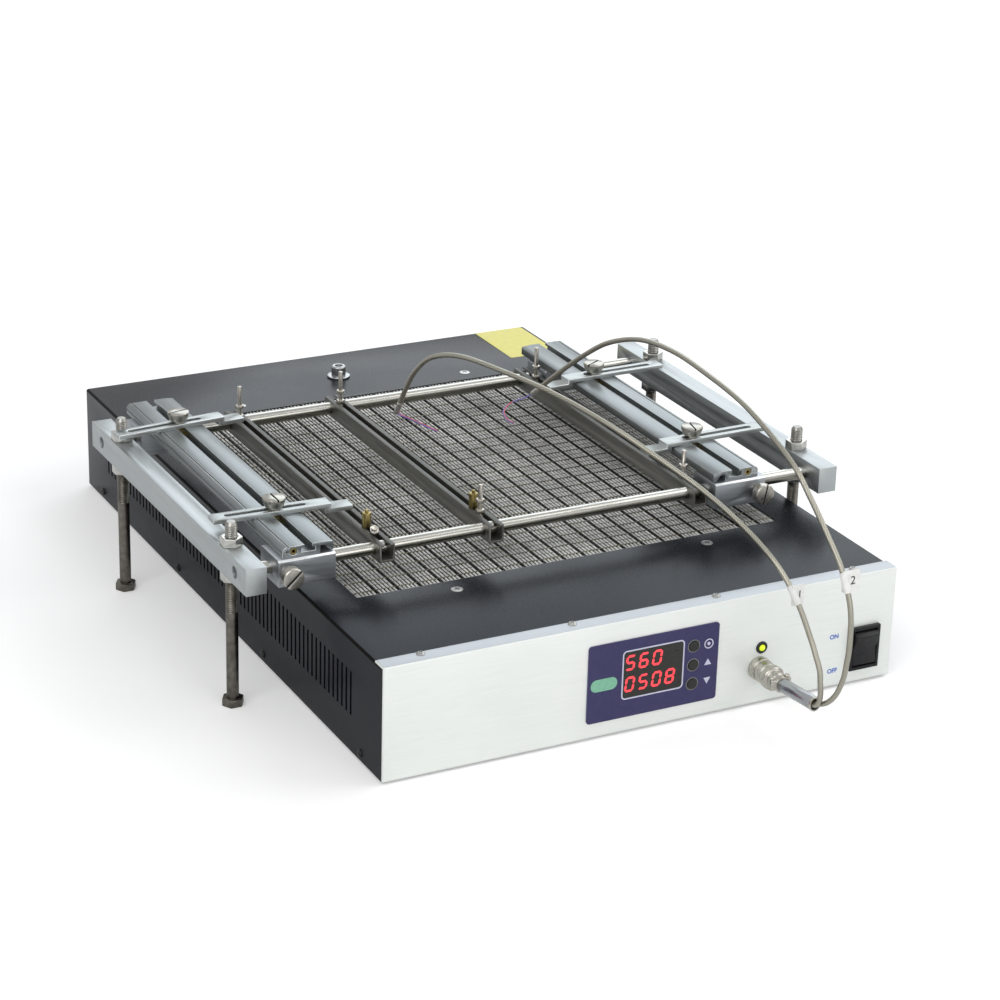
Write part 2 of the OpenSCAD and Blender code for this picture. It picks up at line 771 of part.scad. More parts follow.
module clamp_screw_rf() {
    clamp_screw(right_x, rf_y, -1, 78);
}

module clamp_arm_rf() {
    clamp_arm(right_x, rf_y, -1, rf_turn, rf_out);
}

module clamp_nut_rr() {
    clamp_nut(right_x, rr_y, -1);
}

module clamp_screw_rr() {
    clamp_screw(right_x, rr_y, -1, 30);
}

module clamp_arm_rr() {
    clamp_arm(right_x, rr_y, -1, rr_turn, rr_out);
}

// Open-topped channel with inward lips. The guide rods pass through both walls near its ends
module channel(x) {
    w = channel_w / 2;
    t = channel_t;
    n = w - t - channel_lip;
    half = rod_span / 2 + channel_over;
    color("#7f8385") in_holder() translate([x, 0, 0]) difference() {
        along_y(-half, half) polygon([[-w, channel_z], [w, channel_z], [w, channel_top],
            [n, channel_top], [n, channel_top - t], [w - t, channel_top - t], [w - t, channel_z + t],
            [t - w, channel_z + t], [t - w, channel_top - t], [-n, channel_top - t], [-n, channel_top],
            [-w, channel_top]]);
        for (y = [-1, 1]) translate([-w - 1, y * rod_span / 2, rod_z]) rotate([0, 90, 0])
            cylinder(r = rod_d / 2 + fit, h = 2 * w + 2);
    }
}

// A stud held in a channel by one nut under its lips and two above
module stud(x, y, top) {
    foot = channel_top - channel_t - stud_nut_h;
    translate([x, y, 0]) {
        translate([0, 0, foot]) cylinder(d = stud_d, h = top - foot);
        for (z = [foot, channel_top, channel_top + 3 * stud_nut_h])
            translate([0, 0, z]) hex(stud_nut_af, stud_nut_h);
    }
}

// A stud that lies over to the front, its nut on the channel's lips
module fallen_stud(x, y) {
    translate([x, y, channel_top + stud_nut_af * 0.4]) rotate([62, 0, -25]) {
        translate([0, 0, -3]) cylinder(d = stud_d, h = 17);
        for (z = [-2, 3]) translate([0, 0, z]) hex(stud_nut_af, stud_nut_h);
    }
}

module pillar(x, y) {
    translate([x, y, channel_top]) {
        cylinder(r = pillar_r, h = pillar_h);
        translate([0, 0, pillar_h]) cylinder(r = 1.2, h = 2);
    }
}

module channel_left() {
    channel(channel_xs[0]);
}

module posts_left() {
    color("#b6ada0") in_holder() {
        stud(channel_xs[0], stud_back, stud_high);
        fallen_stud(channel_xs[0], stud_front - 4);
        pillar(channel_xs[0], stud_front + 8);
    }
}

module channel_middle() {
    channel(channel_xs[1]);
}

module posts_middle() {
    color("#b6ada0") in_holder() {
        stud(channel_xs[1], stud_front, stud_low);
        stud(channel_xs[1], stud_back, stud_high);
        pillar(channel_xs[1], stud_front + 10);
    }
}

module channel_right() {
    channel(channel_xs[2]);
}

module posts_right() {
    color("#b6ada0") in_holder() {
        stud(channel_xs[2], stud_front, stud_low);
        stud(channel_xs[2], stud_back - 9, stud_high);
    }
}

// Coupling ring, back shell and cable clamp of the sensor plug
module sensor_plug() {
    color("#cfcabb") in_base() translate([plug_x, -socket_l, plug_z]) rotate([90, 0, 0]) {
        rotate_extrude() polygon([[0, 0], [7.2, 0], [7.6, 0.4], [7.6, 5], [7.2, 5.4], [7.2, 6], [8.1, 6.6],
            [8.1, 10.8], [7.4, 11.6], [6.5, 12], [6.2, 16], [5.4, 17], [5.4, 21], [0, 21]]);
        translate([-7.6, -3.6, 15.6]) cube([15.2, 7.2, 4]);
    }
}

// Sleeve that leans with the pull of the cables, open where they leave it
module plug_sleeve() {
    color("#8a93a3") in_base() translate([plug_x, sleeve_y, plug_z]) rotate([90, 0, sleeve_lean]) difference() {
        translate([0, 0, 3]) cylinder(d = sleeve_d, h = sleeve_l - 3);
        translate([0, 0, sleeve_l - sleeve_bore]) cylinder(d = sleeve_d - 1.6, h = sleeve_bore + 1);
    }
}

module sensor_cable_a() {
    color("#a19c8a") in_lead() cord(route_a, cable_d);
}

module sensor_cable_b() {
    color("#a19c8a") in_lead() cord(route_b, cable_d);
}

// A paper flag on each cable, glued round it
module cable_tags() {
    color("#f2f2ee") in_lead() {
        translate(tag_a) translate([-2, -tag_t / 2, -tag_h / 2]) cube([tag_w * 0.7, tag_t, tag_h]);
        translate(tag_b) translate([-2, -tag_t / 2, -tag_h / 2]) cube([tag_w, tag_t, tag_h]);
    }
}

// Thin sensor wires that leave the tips of the cables
module probe_wires() {
    color("#b04a55") in_lead() {
        cord(wires_a, wire_d);
        cord(wires_b, wire_d);
    }
}

bottom_tray();
top_cover();
front_panel();
base_feet();
base_screws();
insulation_board();
reflector_tray();
heater_tubes();
tube_holders();
mesh_grille();
control_board();
heat_sink();
mains_inlet();
arm_post();
display_overlay();
display_module();
button_set();
button_up();
button_down();
status_led();
switch_bezel();
switch_rocker();
sensor_socket();
side_bars();
guide_rods();
lock_nuts();
leg_bolt_fl();
leg_bolt_fr();
leg_bolt_rl();
leg_bolt_rr();
left_blocks();
left_rail();
left_rod_lock();
right_blocks();
right_rail();
right_rod_lock();
clamp_nut_lf();
clamp_screw_lf();
clamp_arm_lf();
clamp_nut_lr();
clamp_screw_lr();
clamp_arm_lr();
clamp_nut_rf();
clamp_screw_rf();
clamp_arm_rf();
clamp_nut_rr();
clamp_screw_rr();
clamp_arm_rr();
channel_left();
posts_left();
channel_middle();
posts_middle();
channel_right();
posts_right();
sensor_plug();
plug_sleeve();
sensor_cable_a();
sensor_cable_b();
cable_tags();
probe_wires();
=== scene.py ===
import math

import bmesh
import bpy
from mathutils import Matrix, Vector


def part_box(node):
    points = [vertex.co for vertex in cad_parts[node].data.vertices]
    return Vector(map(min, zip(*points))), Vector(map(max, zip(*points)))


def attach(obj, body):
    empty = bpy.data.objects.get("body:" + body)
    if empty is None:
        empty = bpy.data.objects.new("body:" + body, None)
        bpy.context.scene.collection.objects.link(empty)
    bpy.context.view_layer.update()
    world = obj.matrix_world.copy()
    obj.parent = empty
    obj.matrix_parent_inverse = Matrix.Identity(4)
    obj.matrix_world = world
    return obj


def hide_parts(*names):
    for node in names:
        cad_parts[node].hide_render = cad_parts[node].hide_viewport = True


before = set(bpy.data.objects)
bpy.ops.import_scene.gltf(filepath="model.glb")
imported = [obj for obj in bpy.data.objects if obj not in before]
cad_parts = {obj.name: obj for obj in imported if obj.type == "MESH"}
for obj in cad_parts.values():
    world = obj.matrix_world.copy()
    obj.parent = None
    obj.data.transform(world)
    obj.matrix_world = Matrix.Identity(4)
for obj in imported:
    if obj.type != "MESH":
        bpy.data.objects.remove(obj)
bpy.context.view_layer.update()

# Camera: a long lens to the left of the front and above, as the photograph was taken.
# It leans a little, so the casing's upright edges do too.
scene = bpy.context.scene
lens = bpy.data.cameras.new("camera")
lens.sensor_width = 36
lens.lens = 101.26
camera = bpy.data.objects.new("camera", lens)
scene.collection.objects.link(camera)
scene.camera = camera
aside, above, lean = math.radians(27.869), math.radians(22.485), math.radians(1.667)
forward = Vector((math.sin(aside) * math.cos(above), math.cos(aside) * math.cos(above), -math.sin(above)))
level = Vector((math.cos(aside), -math.sin(aside), 0))
upright = level.cross(forward)
camera.matrix_world = Matrix((
    level * math.cos(lean) + upright * math.sin(lean),
    upright * math.cos(lean) - level * math.sin(lean),
    -forward,
)).transposed().to_4x4()
camera.location = (-0.8209, -1.6356, 0.8198)

# Studio: a plain pale floor, a white surround and four large soft lamps.
# The floor is lifted to white for the camera only, so it keeps its shadow.
scene.view_settings.view_transform = "Standard"
world = bpy.data.worlds.new("studio")
scene.world = world
world.use_nodes = True
sky = world.node_tree.nodes["Background"]
sky.inputs["Color"].default_value = (1, 1, 1, 1)
seen = world.node_tree.nodes.new("ShaderNodeLightPath")
level_of_sky = world.node_tree.nodes.new("ShaderNodeMapRange")
level_of_sky.inputs["To Min"].default_value = 0.45
level_of_sky.inputs["To Max"].default_value = 0.68
world.node_tree.links.new(seen.outputs["Is Glossy Ray"], level_of_sky.inputs["Value"])
world.node_tree.links.new(level_of_sky.outputs["Result"], sky.inputs["Strength"])

floor_mesh = bpy.data.meshes.new("floor")
sweep = bmesh.new()
bmesh.ops.create_grid(sweep, x_segments=1, y_segments=1, size=9)
sweep.to_mesh(floor_mesh)
sweep.free()
floor_paint = bpy.data.materials.new("floor_paint")
floor_paint.use_nodes = True
paint = floor_paint.node_tree.nodes["Principled BSDF"]
paint.inputs["Base Color"].default_value = (0.9, 0.9, 0.9, 1)
paint.inputs["Roughness"].default_value = 0.9
paint.inputs["Specular IOR Level"].default_value = 0.1
paint.inputs["Emission Color"].default_value = (1, 1, 1, 1)
facing = floor_paint.node_tree.nodes.new("ShaderNodeLightPath")
lift = floor_paint.node_tree.nodes.new("ShaderNodeMapRange")
lift.inputs["To Max"].default_value = 0.26
floor_paint.node_tree.links.new(facing.outputs["Is Camera Ray"], lift.inputs["Value"])
floor_paint.node_tree.links.new(lift.outputs["Result"], paint.inputs["Emission Strength"])
floor_mesh.materials.append(floor_paint)
floor = bpy.data.objects.new("floor", floor_mesh)
scene.collection.objects.link(floor)

lamp_aim = Vector((0, 0, 0.08))
lamps = (
    ("lamp_left", (-1.6, -1.3, 1.9), 1.8, 25, (1, 1, 1)),
    ("lamp_right", (1.7, -0.7, 1.7), 1.6, 14, (1, 1, 1)),
    ("lamp_behind", (1.3, 1.7, 1.4), 2.0, 20, (0.86, 0.94, 1)),
    ("lamp_front", (0.3, -2.7, 0.9), 1.6, 15, (1, 1, 1)),
)
for name, place, size, watts, colour in lamps:
    lamp = bpy.data.lights.new(name, "AREA")
    lamp.size = size
    lamp.energy = watts
    lamp.color = colour
    holder = bpy.data.objects.new(name, lamp)
    holder.location = place
    holder.rotation_mode = "QUATERNION"
    holder.rotation_quaternion = (lamp_aim - Vector(place)).to_track_quat("-Z", "Y")
    scene.collection.objects.link(holder)

# Sensor cables: two stiff leads in a braided stainless sleeve, with a crimped ferrule at each tip.
# They leave the plug's sleeve together and keep the bend that the hand gives them.
panel_foot = (16, -262)


def at(x, y, z):
    """A point given in millimetres from the foot of the front panel's middle."""
    return Vector((x + panel_foot[0], y + panel_foot[1], z)) / 1000


def smooth_route(points):
    """A smooth line through the points, as the solid cable follows them."""
    line, steps = [], 8
    for i in range(len(points) - 1):
        a, b, c, d = (points[max(0, min(len(points) - 1, i + k))] for k in (-1, 0, 1, 2))
        for step in range(steps):
            t = step / steps
            line.append(0.5 * (2 * b + (c - a) * t + (2 * a - 5 * b + 4 * c - d) * t * t
                               + (3 * b - a - 3 * c + d) * t ** 3))
    return line + [points[-1]]


def dress(name, mesh, material, body, replaced=(), smooth=38):
    """Links a finished mesh as a piece that rides on a body."""
    mesh.materials.append(material)
    mesh.shade_smooth()
    mesh.set_sharp_from_angle(angle=math.radians(smooth))
    piece = bpy.data.objects.new(name, mesh)
    scene.collection.objects.link(piece)
    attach(piece, body)
    if replaced:
        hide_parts(*replaced)
    return piece


def tube(name, line, diameter):
    """A round tube along a line, with its UV map running along and around it."""
    curve = bpy.data.curves.new(name, "CURVE")
    curve.dimensions = "3D"
    curve.bevel_depth = diameter / 2
    curve.bevel_resolution = 3
    curve.use_fill_caps = True
    run = curve.splines.new("POLY")
    run.points.add(len(line) - 1)
    for point, place in zip(run.points, line):
        point.co = (*place, 1)
    holder = bpy.data.objects.new(name + "_line", curve)
    scene.collection.objects.link(holder)
    bpy.context.view_layer.update()
    mesh = bpy.data.meshes.new_from_object(holder)
    mesh.name = name
    bpy.data.objects.remove(holder)
    bpy.data.curves.remove(curve)
    return mesh


def length_of(line):
    """The length of a line of points."""
    return sum((b - a).length for a, b in zip(line, line[1:]))


def math_node(tree, operation, *values):
    """A Math node with its inputs set or linked."""
    node = tree.nodes.new("ShaderNodeMath")
    node.operation = operation
    for socket, value in zip(node.inputs, values):
        if isinstance(value, (int, float)):
            socket.default_value = value
        else:
            tree.links.new(value, socket)
    return node.outputs[0]


def braid_finish(name, length, dark, light):
    """Bright crossing strands: two spirals on the cable's own UV map."""
    strand_pitch, strands_around = 0.0019, 8
    material = bpy.data.materials.new(name)
    material.use_nodes = True
    tree = material.node_tree
    shader = tree.nodes["Principled BSDF"]
    shader.inputs["Metallic"].default_value = 1.0
    shader.inputs["Roughness"].default_value = 0.32
    uv = tree.nodes.new("ShaderNodeUVMap")
    uv.uv_map = "UVMap"
    split = tree.nodes.new("ShaderNodeSeparateXYZ")
    tree.links.new(uv.outputs["UV"], split.inputs["Vector"])
    along = math_node(tree, "MULTIPLY", split.outputs["X"], 2 * math.pi * length / strand_pitch)
    around = math_node(tree, "MULTIPLY", split.outputs["Y"], 2 * math.pi * strands_around)
    one_way = math_node(tree, "SINE", math_node(tree, "ADD", along, around))
    other_way = math_node(tree, "SINE", math_node(tree, "SUBTRACT", along, around))
    height = math_node(tree, "MAXIMUM", one_way, other_way)
    tone = tree.nodes.new("ShaderNodeValToRGB")
    tone.color_ramp.elements[0].position = 0.25
    tone.color_ramp.elements[0].color = (*dark, 1)
    tone.color_ramp.elements[1].position = 0.85
    tone.color_ramp.elements[1].color = (*light, 1)
    tree.links.new(height, tone.inputs["Fac"])
    tree.links.new(tone.outputs["Color"], shader.inputs["Base Color"])
    bump = tree.nodes.new("ShaderNodeBump")
    bump.inputs["Strength"].default_value = 0.25
    bump.inputs["Distance"].default_value = 0.0002
    tree.links.new(height, bump.inputs["Height"])
    tree.links.new(bump.outputs["Normal"], shader.inputs["Normal"])
    return material


def finish(name, dark, light, metal, rough, grain, stretch=(1, 1, 1), bump=0.15, depth=0.0002, shine=0.5,
           tint=(1, 1, 1)):
    """A surface with fine grain and broad clouding between two tones, in the piece's own coordinates."""
    material = bpy.data.materials.new(name)
    material.use_nodes = True
    tree = material.node_tree
    shader = tree.nodes["Principled BSDF"]
    shader.inputs["Metallic"].default_value = metal
    shader.inputs["Specular IOR Level"].default_value = shine
    shader.inputs["Specular Tint"].default_value = (*tint, 1)
    place = tree.nodes.new("ShaderNodeTexCoord")
    stretched = tree.nodes.new("ShaderNodeMapping")
    stretched.inputs["Scale"].default_value = stretch
    tree.links.new(place.outputs["Object"], stretched.inputs["Vector"])
    fine = tree.nodes.new("ShaderNodeTexNoise")
    fine.inputs["Scale"].default_value = grain
    fine.inputs["Detail"].default_value = 4
    tree.links.new(stretched.outputs["Vector"], fine.inputs["Vector"])
    broad = tree.nodes.new("ShaderNodeTexNoise")
    broad.inputs["Scale"].default_value = 16
    broad.inputs["Detail"].default_value = 3
    tree.links.new(place.outputs["Object"], broad.inputs["Vector"])
    cloud = math_node(tree, "ADD", math_node(tree, "MULTIPLY", fine.outputs["Fac"], 0.6),
                      math_node(tree, "MULTIPLY", broad.outputs["Fac"], 0.4))
    tone = tree.nodes.new("ShaderNodeValToRGB")
    tone.color_ramp.elements[0].position = 0.32
    tone.color_ramp.elements[0].color = (*dark, 1)
    tone.color_ramp.elements[1].position = 0.68
    tone.color_ramp.elements[1].color = (*light, 1)
    tree.links.new(cloud, tone.inputs["Fac"])
    tree.links.new(tone.outputs["Color"], shader.inputs["Base Color"])
    polish = tree.nodes.new("ShaderNodeMapRange")
    polish.inputs["From Min"].default_value = 0.3
    polish.inputs["From Max"].default_value = 0.7
    polish.inputs["To Min"].default_value = rough * 0.82
    polish.inputs["To Max"].default_value = rough * 1.18
    tree.links.new(cloud, polish.inputs["Value"])
    tree.links.new(polish.outputs["Result"], shader.inputs["Roughness"])
    relief = tree.nodes.new("ShaderNodeBump")
    relief.inputs["Strength"].default_value = bump
    relief.inputs["Distance"].default_value = depth
    tree.links.new(fine.outputs["Fac"], relief.inputs["Height"])
    tree.links.new(relief.outputs["Normal"], shader.inputs["Normal"])
    return material


def revolve(profile, segments):
    """A closed turned shape from (radius, height) points in metres, round the Z axis."""
    bm = bmesh.new()
    verts = [bm.verts.new((r, 0, h)) for r, h in profile]
    edges = [bm.edges.new(pair) for pair in zip(verts, verts[1:])]
    bmesh.ops.spin(bm, geom=verts + edges, cent=(0, 0, 0), axis=(0, 0, 1), angle=2 * math.pi,
                   steps=segments, use_merge=True)
    bmesh.ops.remove_doubles(bm, verts=bm.verts, dist=1e-7)
    bmesh.ops.recalc_face_normals(bm, faces=bm.faces)
    return bm


def mesh_of(name, *parts):
    """One mesh from several bmesh shapes."""
    whole = bmesh.new()
    for part in parts:
        share = bpy.data.meshes.new("share")
        part.to_mesh(share)
        part.free()
        whole.from_mesh(share)
        bpy.data.meshes.remove(share)
    mesh = bpy.data.meshes.new(name)
    whole.to_mesh(mesh)
    whole.free()
    return mesh


def pointing(direction, place):
    """A matrix that turns a shape's Z axis along a direction and puts it at a place."""
    return Matrix.Translation(place) @ Vector(direction).to_track_quat("Z", "Y").to_matrix().to_4x4()


lean_side = math.radians(7.5)
sleeve_way = Vector((math.sin(lean_side), -math.cos(lean_side), 0))
sleeve_across = Vector((math.cos(lean_side), math.sin(lean_side), 0))
plug_x, plug_z = 82, 27.6
sleeve_length, run_in_sleeve = 0.035, 0.010
sleeve_end = at(plug_x, -26, plug_z) + sleeve_length * sleeve_way
cable_d, cable_play = 0.0036, 0.00015
pair_gap = cable_d / 2 + cable_play
starts = {side: sleeve_end - run_in_sleeve * sleeve_way + sign * pair_gap * sleeve_across
          for side, sign in (("a", -1), ("b", 1))}
cable_points = {
    "a": ((85.3, -65.8, 31.5), (85, -67.5, 38.5), (84.6, -67, 45.2), (84.8, -65, 53.4), (84.3, -60, 62),
          (84.2, -54, 70), (80.4, -40.4, 92.5), (76, -22, 110), (70.5, 8.5, 124), (60, 43, 138), (42.5, 83, 153),
          (27, 116, 164.5), (11.5, 158, 172.5), (-4, 200, 176), (-19.5, 236, 177.5), (-30, 258, 171),
          (-35, 273, 157), (-38, 283, 140), (-41.5, 289.5, 121)),
    "b": ((89, -66.5, 30.2), (89.8, -69.8, 32.8), (91.2, -72.5, 36.3), (92.5, -75.5, 42.4), (93.2, -79, 52.4),
          (92.5, -82, 63), (91.8, -84.5, 76), (91, -85, 96), (90.3, -81.7, 110), (89, -73.3, 126.3),
          (88.7, -57.7, 140.7), (89, -35, 158), (88, -11, 175), (86.5, 41, 193), (84.5, 94, 200.5),
          (83.5, 131, 202), (82, 168.5, 197.5), (80.5, 205.5, 184), (78, 232, 168), (71.5, 261, 144.5),
          (64.3, 285.8, 121)),
}
ferrule_steel = finish("ferrule_steel", (0.42, 0.41, 0.38), (0.66, 0.65, 0.61), metal=1.0, rough=0.3, grain=900)
routes, cables, ferrules = {}, {}, {}
for side, points in cable_points.items():
    start = starts[side]
    routes[side] = smooth_route([start, start + run_in_sleeve * sleeve_way] + [at(*p) for p in points])
    run = length_of(routes[side])
    braid = braid_finish("cable_braid_" + side, run, (0.24, 0.23, 0.185), (0.52, 0.50, 0.43))
    cables[side] = dress("sensor_cable_" + side + "_braid", tube("cable_" + side, routes[side], cable_d), braid,
                         "base", ("sensor_cable_" + side,), smooth=80)
    tip = routes[side][-1]
    way = (tip - routes[side][-4]).normalized()
    cap = revolve(((0, -0.009), (0.0018, -0.009), (0.0020, -0.0086), (0.0020, -0.0065), (0.0019, -0.006),
                   (0.0019, -0.003), (0.0020, -0.0025), (0.0020, -0.0005), (0.0017, 0.0002), (0, 0.0002)), 24)
    cap.transform(pointing(way, tip))
    ferrules[side] = dress("ferrule_" + side, mesh_of("ferrule_" + side, cap), ferrule_steel, "base")

# Sensor wires: a red and a blue hair-thin lead that come out of each cable's tip.
# Each is a soft plastic cover on a thermocouple wire, and they lie side by side.
wire_points = {
    "a": ((-41.5, 289.5, 121), (-38, 284.7, 119.6), (-34.1, 271.4, 119.5), (-30.9, 257.4, 119.5), (-29, 250.3, 119.5)),
    "b": ((64.3, 285.8, 121), (57, 284.2, 119.8), (48.5, 281.8, 119.5), (40.7, 277.5, 119.5), (33, 269, 119.5),
          (28.9, 261.4, 119.5), (25.8, 250.5, 119.5), (26.6, 243.2, 119.5)),
}
wire_d = 0.0009
for colour, shift, dark, light in (("red", 0.0005, (0.50, 0.05, 0.08), (0.70, 0.10, 0.14)),
                                   ("blue", -0.0005, (0.10, 0.09, 0.34), (0.20, 0.17, 0.50))):
    cover = finish("wire_cover_" + colour, dark, light, metal=0.0, rough=0.45, grain=700)
    for side, points in wire_points.items():
        line = [p + Vector((shift, shift * 0.5, 0)) for p in smooth_route([at(*p) for p in points])]
        name = "probe_wire_" + colour + "_" + side
        wire = dress(name, tube(name, line, wire_d), cover, "base",
                     ("probe_wires",) if name == "probe_wire_red_a" else (), smooth=80)

# Cable tags: a paper flag glued round each cable, with a plain number to tell the two leads apart.
# Each flag is one folded strip, so it is two leaves thick.


def plate(width, height, thickness, corner, segments=5):
    """A flat plate with round corners, standing in X and Z, its back on Y 0 and its face towards -Y."""
    bm = bmesh.new()
    bmesh.ops.create_grid(bm, x_segments=1, y_segments=1, size=0.5)
    bmesh.ops.scale(bm, vec=(width, height, 1), verts=bm.verts)
    bmesh.ops.bevel(bm, geom=bm.verts[:], offset=corner, offset_type="OFFSET", segments=segments, profile=0.5,
                    affect="VERTICES", material=-1)
    bmesh.ops.rotate(bm, cent=(0, 0, 0), matrix=Matrix.Rotation(math.pi / 2, 3, "X"), verts=bm.verts)
    face = bmesh.ops.extrude_face_region(bm, geom=bm.faces[:])
    grown = [v for v in face["geom"] if isinstance(v, bmesh.types.BMVert)]
    bmesh.ops.translate(bm, vec=(0, -thickness, 0), verts=grown)
    bmesh.ops.recalc_face_normals(bm, faces=bm.faces)
    return bm


def lettering(name, words, height, place, weight=0.0):
    """Printed characters as a flat mesh that faces the front, centred on a place."""
    text = bpy.data.curves.new(name, "FONT")
    text.body = words
    text.size = height
    text.align_x = "CENTER"
    text.align_y = "CENTER"
    text.extrude = 0.00003
    text.offset = weight
    text.resolution_u = 4
    holder = bpy.data.objects.new(name + "_text", text)
    scene.collection.objects.link(holder)
    bpy.context.view_layer.update()
    mesh = bpy.data.meshes.new_from_object(holder)
    mesh.name = name
    bpy.data.objects.remove(holder)
    bpy.data.curves.remove(text)
    mesh.transform(Matrix.Translation(place) @ Matrix.Rotation(math.pi / 2, 4, "X"))
    return mesh


paper = finish("tag_paper", (0.72, 0.72, 0.70), (0.86, 0.86, 0.84), metal=0.0, rough=0.6, grain=300, bump=0.05)
ink_black = finish("ink_black", (0.01, 0.01, 0.01), (0.02, 0.02, 0.02), metal=0.0, rough=0.5, grain=400, bump=0.0)
flag_height, flag_thickness, numeral_height = 0.014, 0.0008, 0.008
flags = []
for side, place, width, number in (("a", at(79.9, -38.2, 94.7), 0.0091, "1"),
                                   ("b", at(89.6, -77.4, 118.6), 0.013, "2")):
    leaf = plate(width, flag_height, flag_thickness, corner=0.0012)
    middle = place + Vector((width / 2 - 0.002, flag_thickness / 2, 0))
    leaf.transform(Matrix.Translation(middle))
    flags.append(leaf)
    fold = revolve(((0, -0.0065), (0.0022, -0.0065), (0.0024, -0.006), (0.0024, 0.006), (0.0022, 0.0065),
                    (0, 0.0065)), 20)
    nearest = min(range(1, len(routes[side]) - 1), key=lambda i: (routes[side][i] - place).length)
    fold.transform(pointing(routes[side][nearest + 1] - routes[side][nearest - 1], routes[side][nearest]))
    flags.append(fold)
    numeral = lettering("tag_number_" + side, number, numeral_height, middle + Vector((0.0012, -0.0009, 0)))
    dress("tag_number_" + side, numeral, ink_black, "base")
tags = dress("cable_flags", mesh_of("cable_flags", *flags), paper, "base", ("cable_tags",))

for side in ("a", "b"):
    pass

# Sensor plug: a nickel-plated coupling ring and back shell with a two-screw cable clamp.
# A grey metal sleeve carries the pull of the cables, open where they leave it.


def eased(node, width, segments, chosen, edge_slot):
    """A copy of a CAD node's solid, its triangles joined into faces and its outer edges broken by a small round."""
    bm = bmesh.new()
    bm.from_mesh(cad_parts[node].data)
    bmesh.ops.remove_doubles(bm, verts=bm.verts, dist=1e-6)
    bmesh.ops.dissolve_limit(bm, angle_limit=math.radians(0.5), verts=bm.verts, edges=bm.edges)
    least_turn = math.radians(40)
    sharp = [e for e in bm.edges if len(e.link_faces) == 2 and e.calc_face_angle_signed(0) > least_turn
             and (chosen is None or chosen(e))]
    bmesh.ops.bevel(bm, geom=sharp, offset=width, offset_type="OFFSET", segments=segments, profile=0.5,
                    affect="EDGES", clamp_overlap=True, material=edge_slot)
    return bm


def eased_piece(node, width, material, body, segments=2, chosen=None, second=None):
    """Dresses an eased copy in place of its CAD node. A second finish goes on its edges."""
    bm = eased(node, width, segments, chosen, 1 if second else -1)
    piece = dress(node + "_piece", mesh_of(node, bm), material, body, (node,))
    if second:
        piece.data.materials.append(second)
    return piece


def knurl(radius, bottom, top, teeth, depth):
    """A ring of fine straight knurling round the Z axis."""
    bm = bmesh.new()
    bmesh.ops.create_cone(bm, cap_ends=True, segments=2 * teeth, radius1=radius, radius2=radius, depth=top - bottom)
    bmesh.ops.translate(bm, vec=(0, 0, (top + bottom) / 2), verts=bm.verts)
    for vert in bm.verts:
        if round(math.atan2(vert.co.y, vert.co.x) * teeth / math.pi) % 2:
            out = vert.co.xy.length
            vert.co.xy *= (out - depth) / out
    return bm


nickel = finish("plug_nickel", (0.40, 0.385, 0.34), (0.60, 0.58, 0.53), metal=1.0, rough=0.3, grain=500, bump=0.05)
eased_piece("sensor_plug", 0.0003, nickel, "base")
plug_face = at(plug_x, -8, plug_z)
grip = knurl(radius=0.0082, bottom=0.0069, top=0.0105, teeth=44, depth=0.0002)
grip.transform(pointing((0, -1, 0), plug_face))
dress("plug_grip", mesh_of("plug_grip", grip), nickel, "base", smooth=25)
clamp_screws, screw_aside = [], 0.0056
for x in (-screw_aside, screw_aside):
    head = revolve(((0, 0), (0.0017, 0), (0.0017, 0.0012), (0.0013, 0.0017), (0, 0.0018)), 20)
    head.transform(Matrix.Translation(plug_face + Vector((x, -0.0176, 0.0036))))
    clamp_screws.append(head)
dress("plug_clamp_screws", mesh_of("plug_clamp_screws", *clamp_screws), nickel, "base")
sleeve_metal = finish("sleeve_metal", (0.32, 0.335, 0.35), (0.48, 0.495, 0.51), metal=1.0, rough=0.26, grain=260,
                      stretch=(1, 0.1, 1), bump=0.06)
eased_piece("plug_sleeve", 0.0003, sleeve_metal, "base")
sleeve_rim = revolve(((0.0040, -0.0012), (0.0049, -0.0012), (0.0050, -0.0006), (0.0049, 0.0001), (0.0041, 0.0002),
                      (0.0040, -0.0012)), 40)
sleeve_rim.transform(pointing(sleeve_way, sleeve_end))
dress("sleeve_rim", mesh_of("sleeve_rim", sleeve_rim), nickel, "base")

# Casing: a zinc-plated tray on rubber feet, and a black powder-coated cover folded from one sheet.
# The cover's sides are punched with rows of vent slots, and screws hold it to the tray.
zinc = finish("zinc_plate", (0.28, 0.29, 0.30), (0.46, 0.47, 0.48), metal=1.0, rough=0.45, grain=120)
rubber = finish("foot_rubber", (0.012, 0.012, 0.012), (0.03, 0.03, 0.03), metal=0.0, rough=0.75, grain=600)
powder_coat = finish("black_powder_coat", (0.006, 0.007, 0.010), (0.009, 0.010, 0.014), metal=0.0, rough=0.28,
                     grain=1600, bump=0.01, depth=0.0001, shine=0.14, tint=(0.80, 0.90, 1.0))
# Painted shade: a blacker, duller finish for the cover's rounded outer bends, which reflect little light.
fold_painted_shade = finish("fold_painted_shade", (0.003, 0.003, 0.003), (0.005, 0.005, 0.005), metal=0.0, rough=0.5, grain=1600,
                    bump=0.0, shine=0.08)


def repaint(node, material):
    """Gives a CAD node that stays in view its own finish."""
    node_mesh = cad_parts[node].data
    node_mesh.materials.clear()
    node_mesh.materials.append(material)


repaint("bottom_tray", zinc)
eased_piece("base_feet", 0.0006, rubber, "base")
cover_low, cover_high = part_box("top_cover")


def near(a, b):
    """True for places that are the same to a hundredth of a millimetre."""
    return abs(a - b) < 1e-5


def on_fold(edge):
    """True for the cover's outer bends: along the top of the sides and the back, and up its back corners."""
    outer = []
    for vert in edge.verts:
        x, y, z = vert.co
        hits = (near(x, cover_low.x) or near(x, cover_high.x)) + near(z, cover_high.z) + near(y, cover_high.y)
        outer.append(hits >= 2)
    return all(outer)


# The cover's outer bends take the painted shade finish.
eased_piece("top_cover", 0.0016, powder_coat, "base", 3, on_fold, fold_painted_shade)

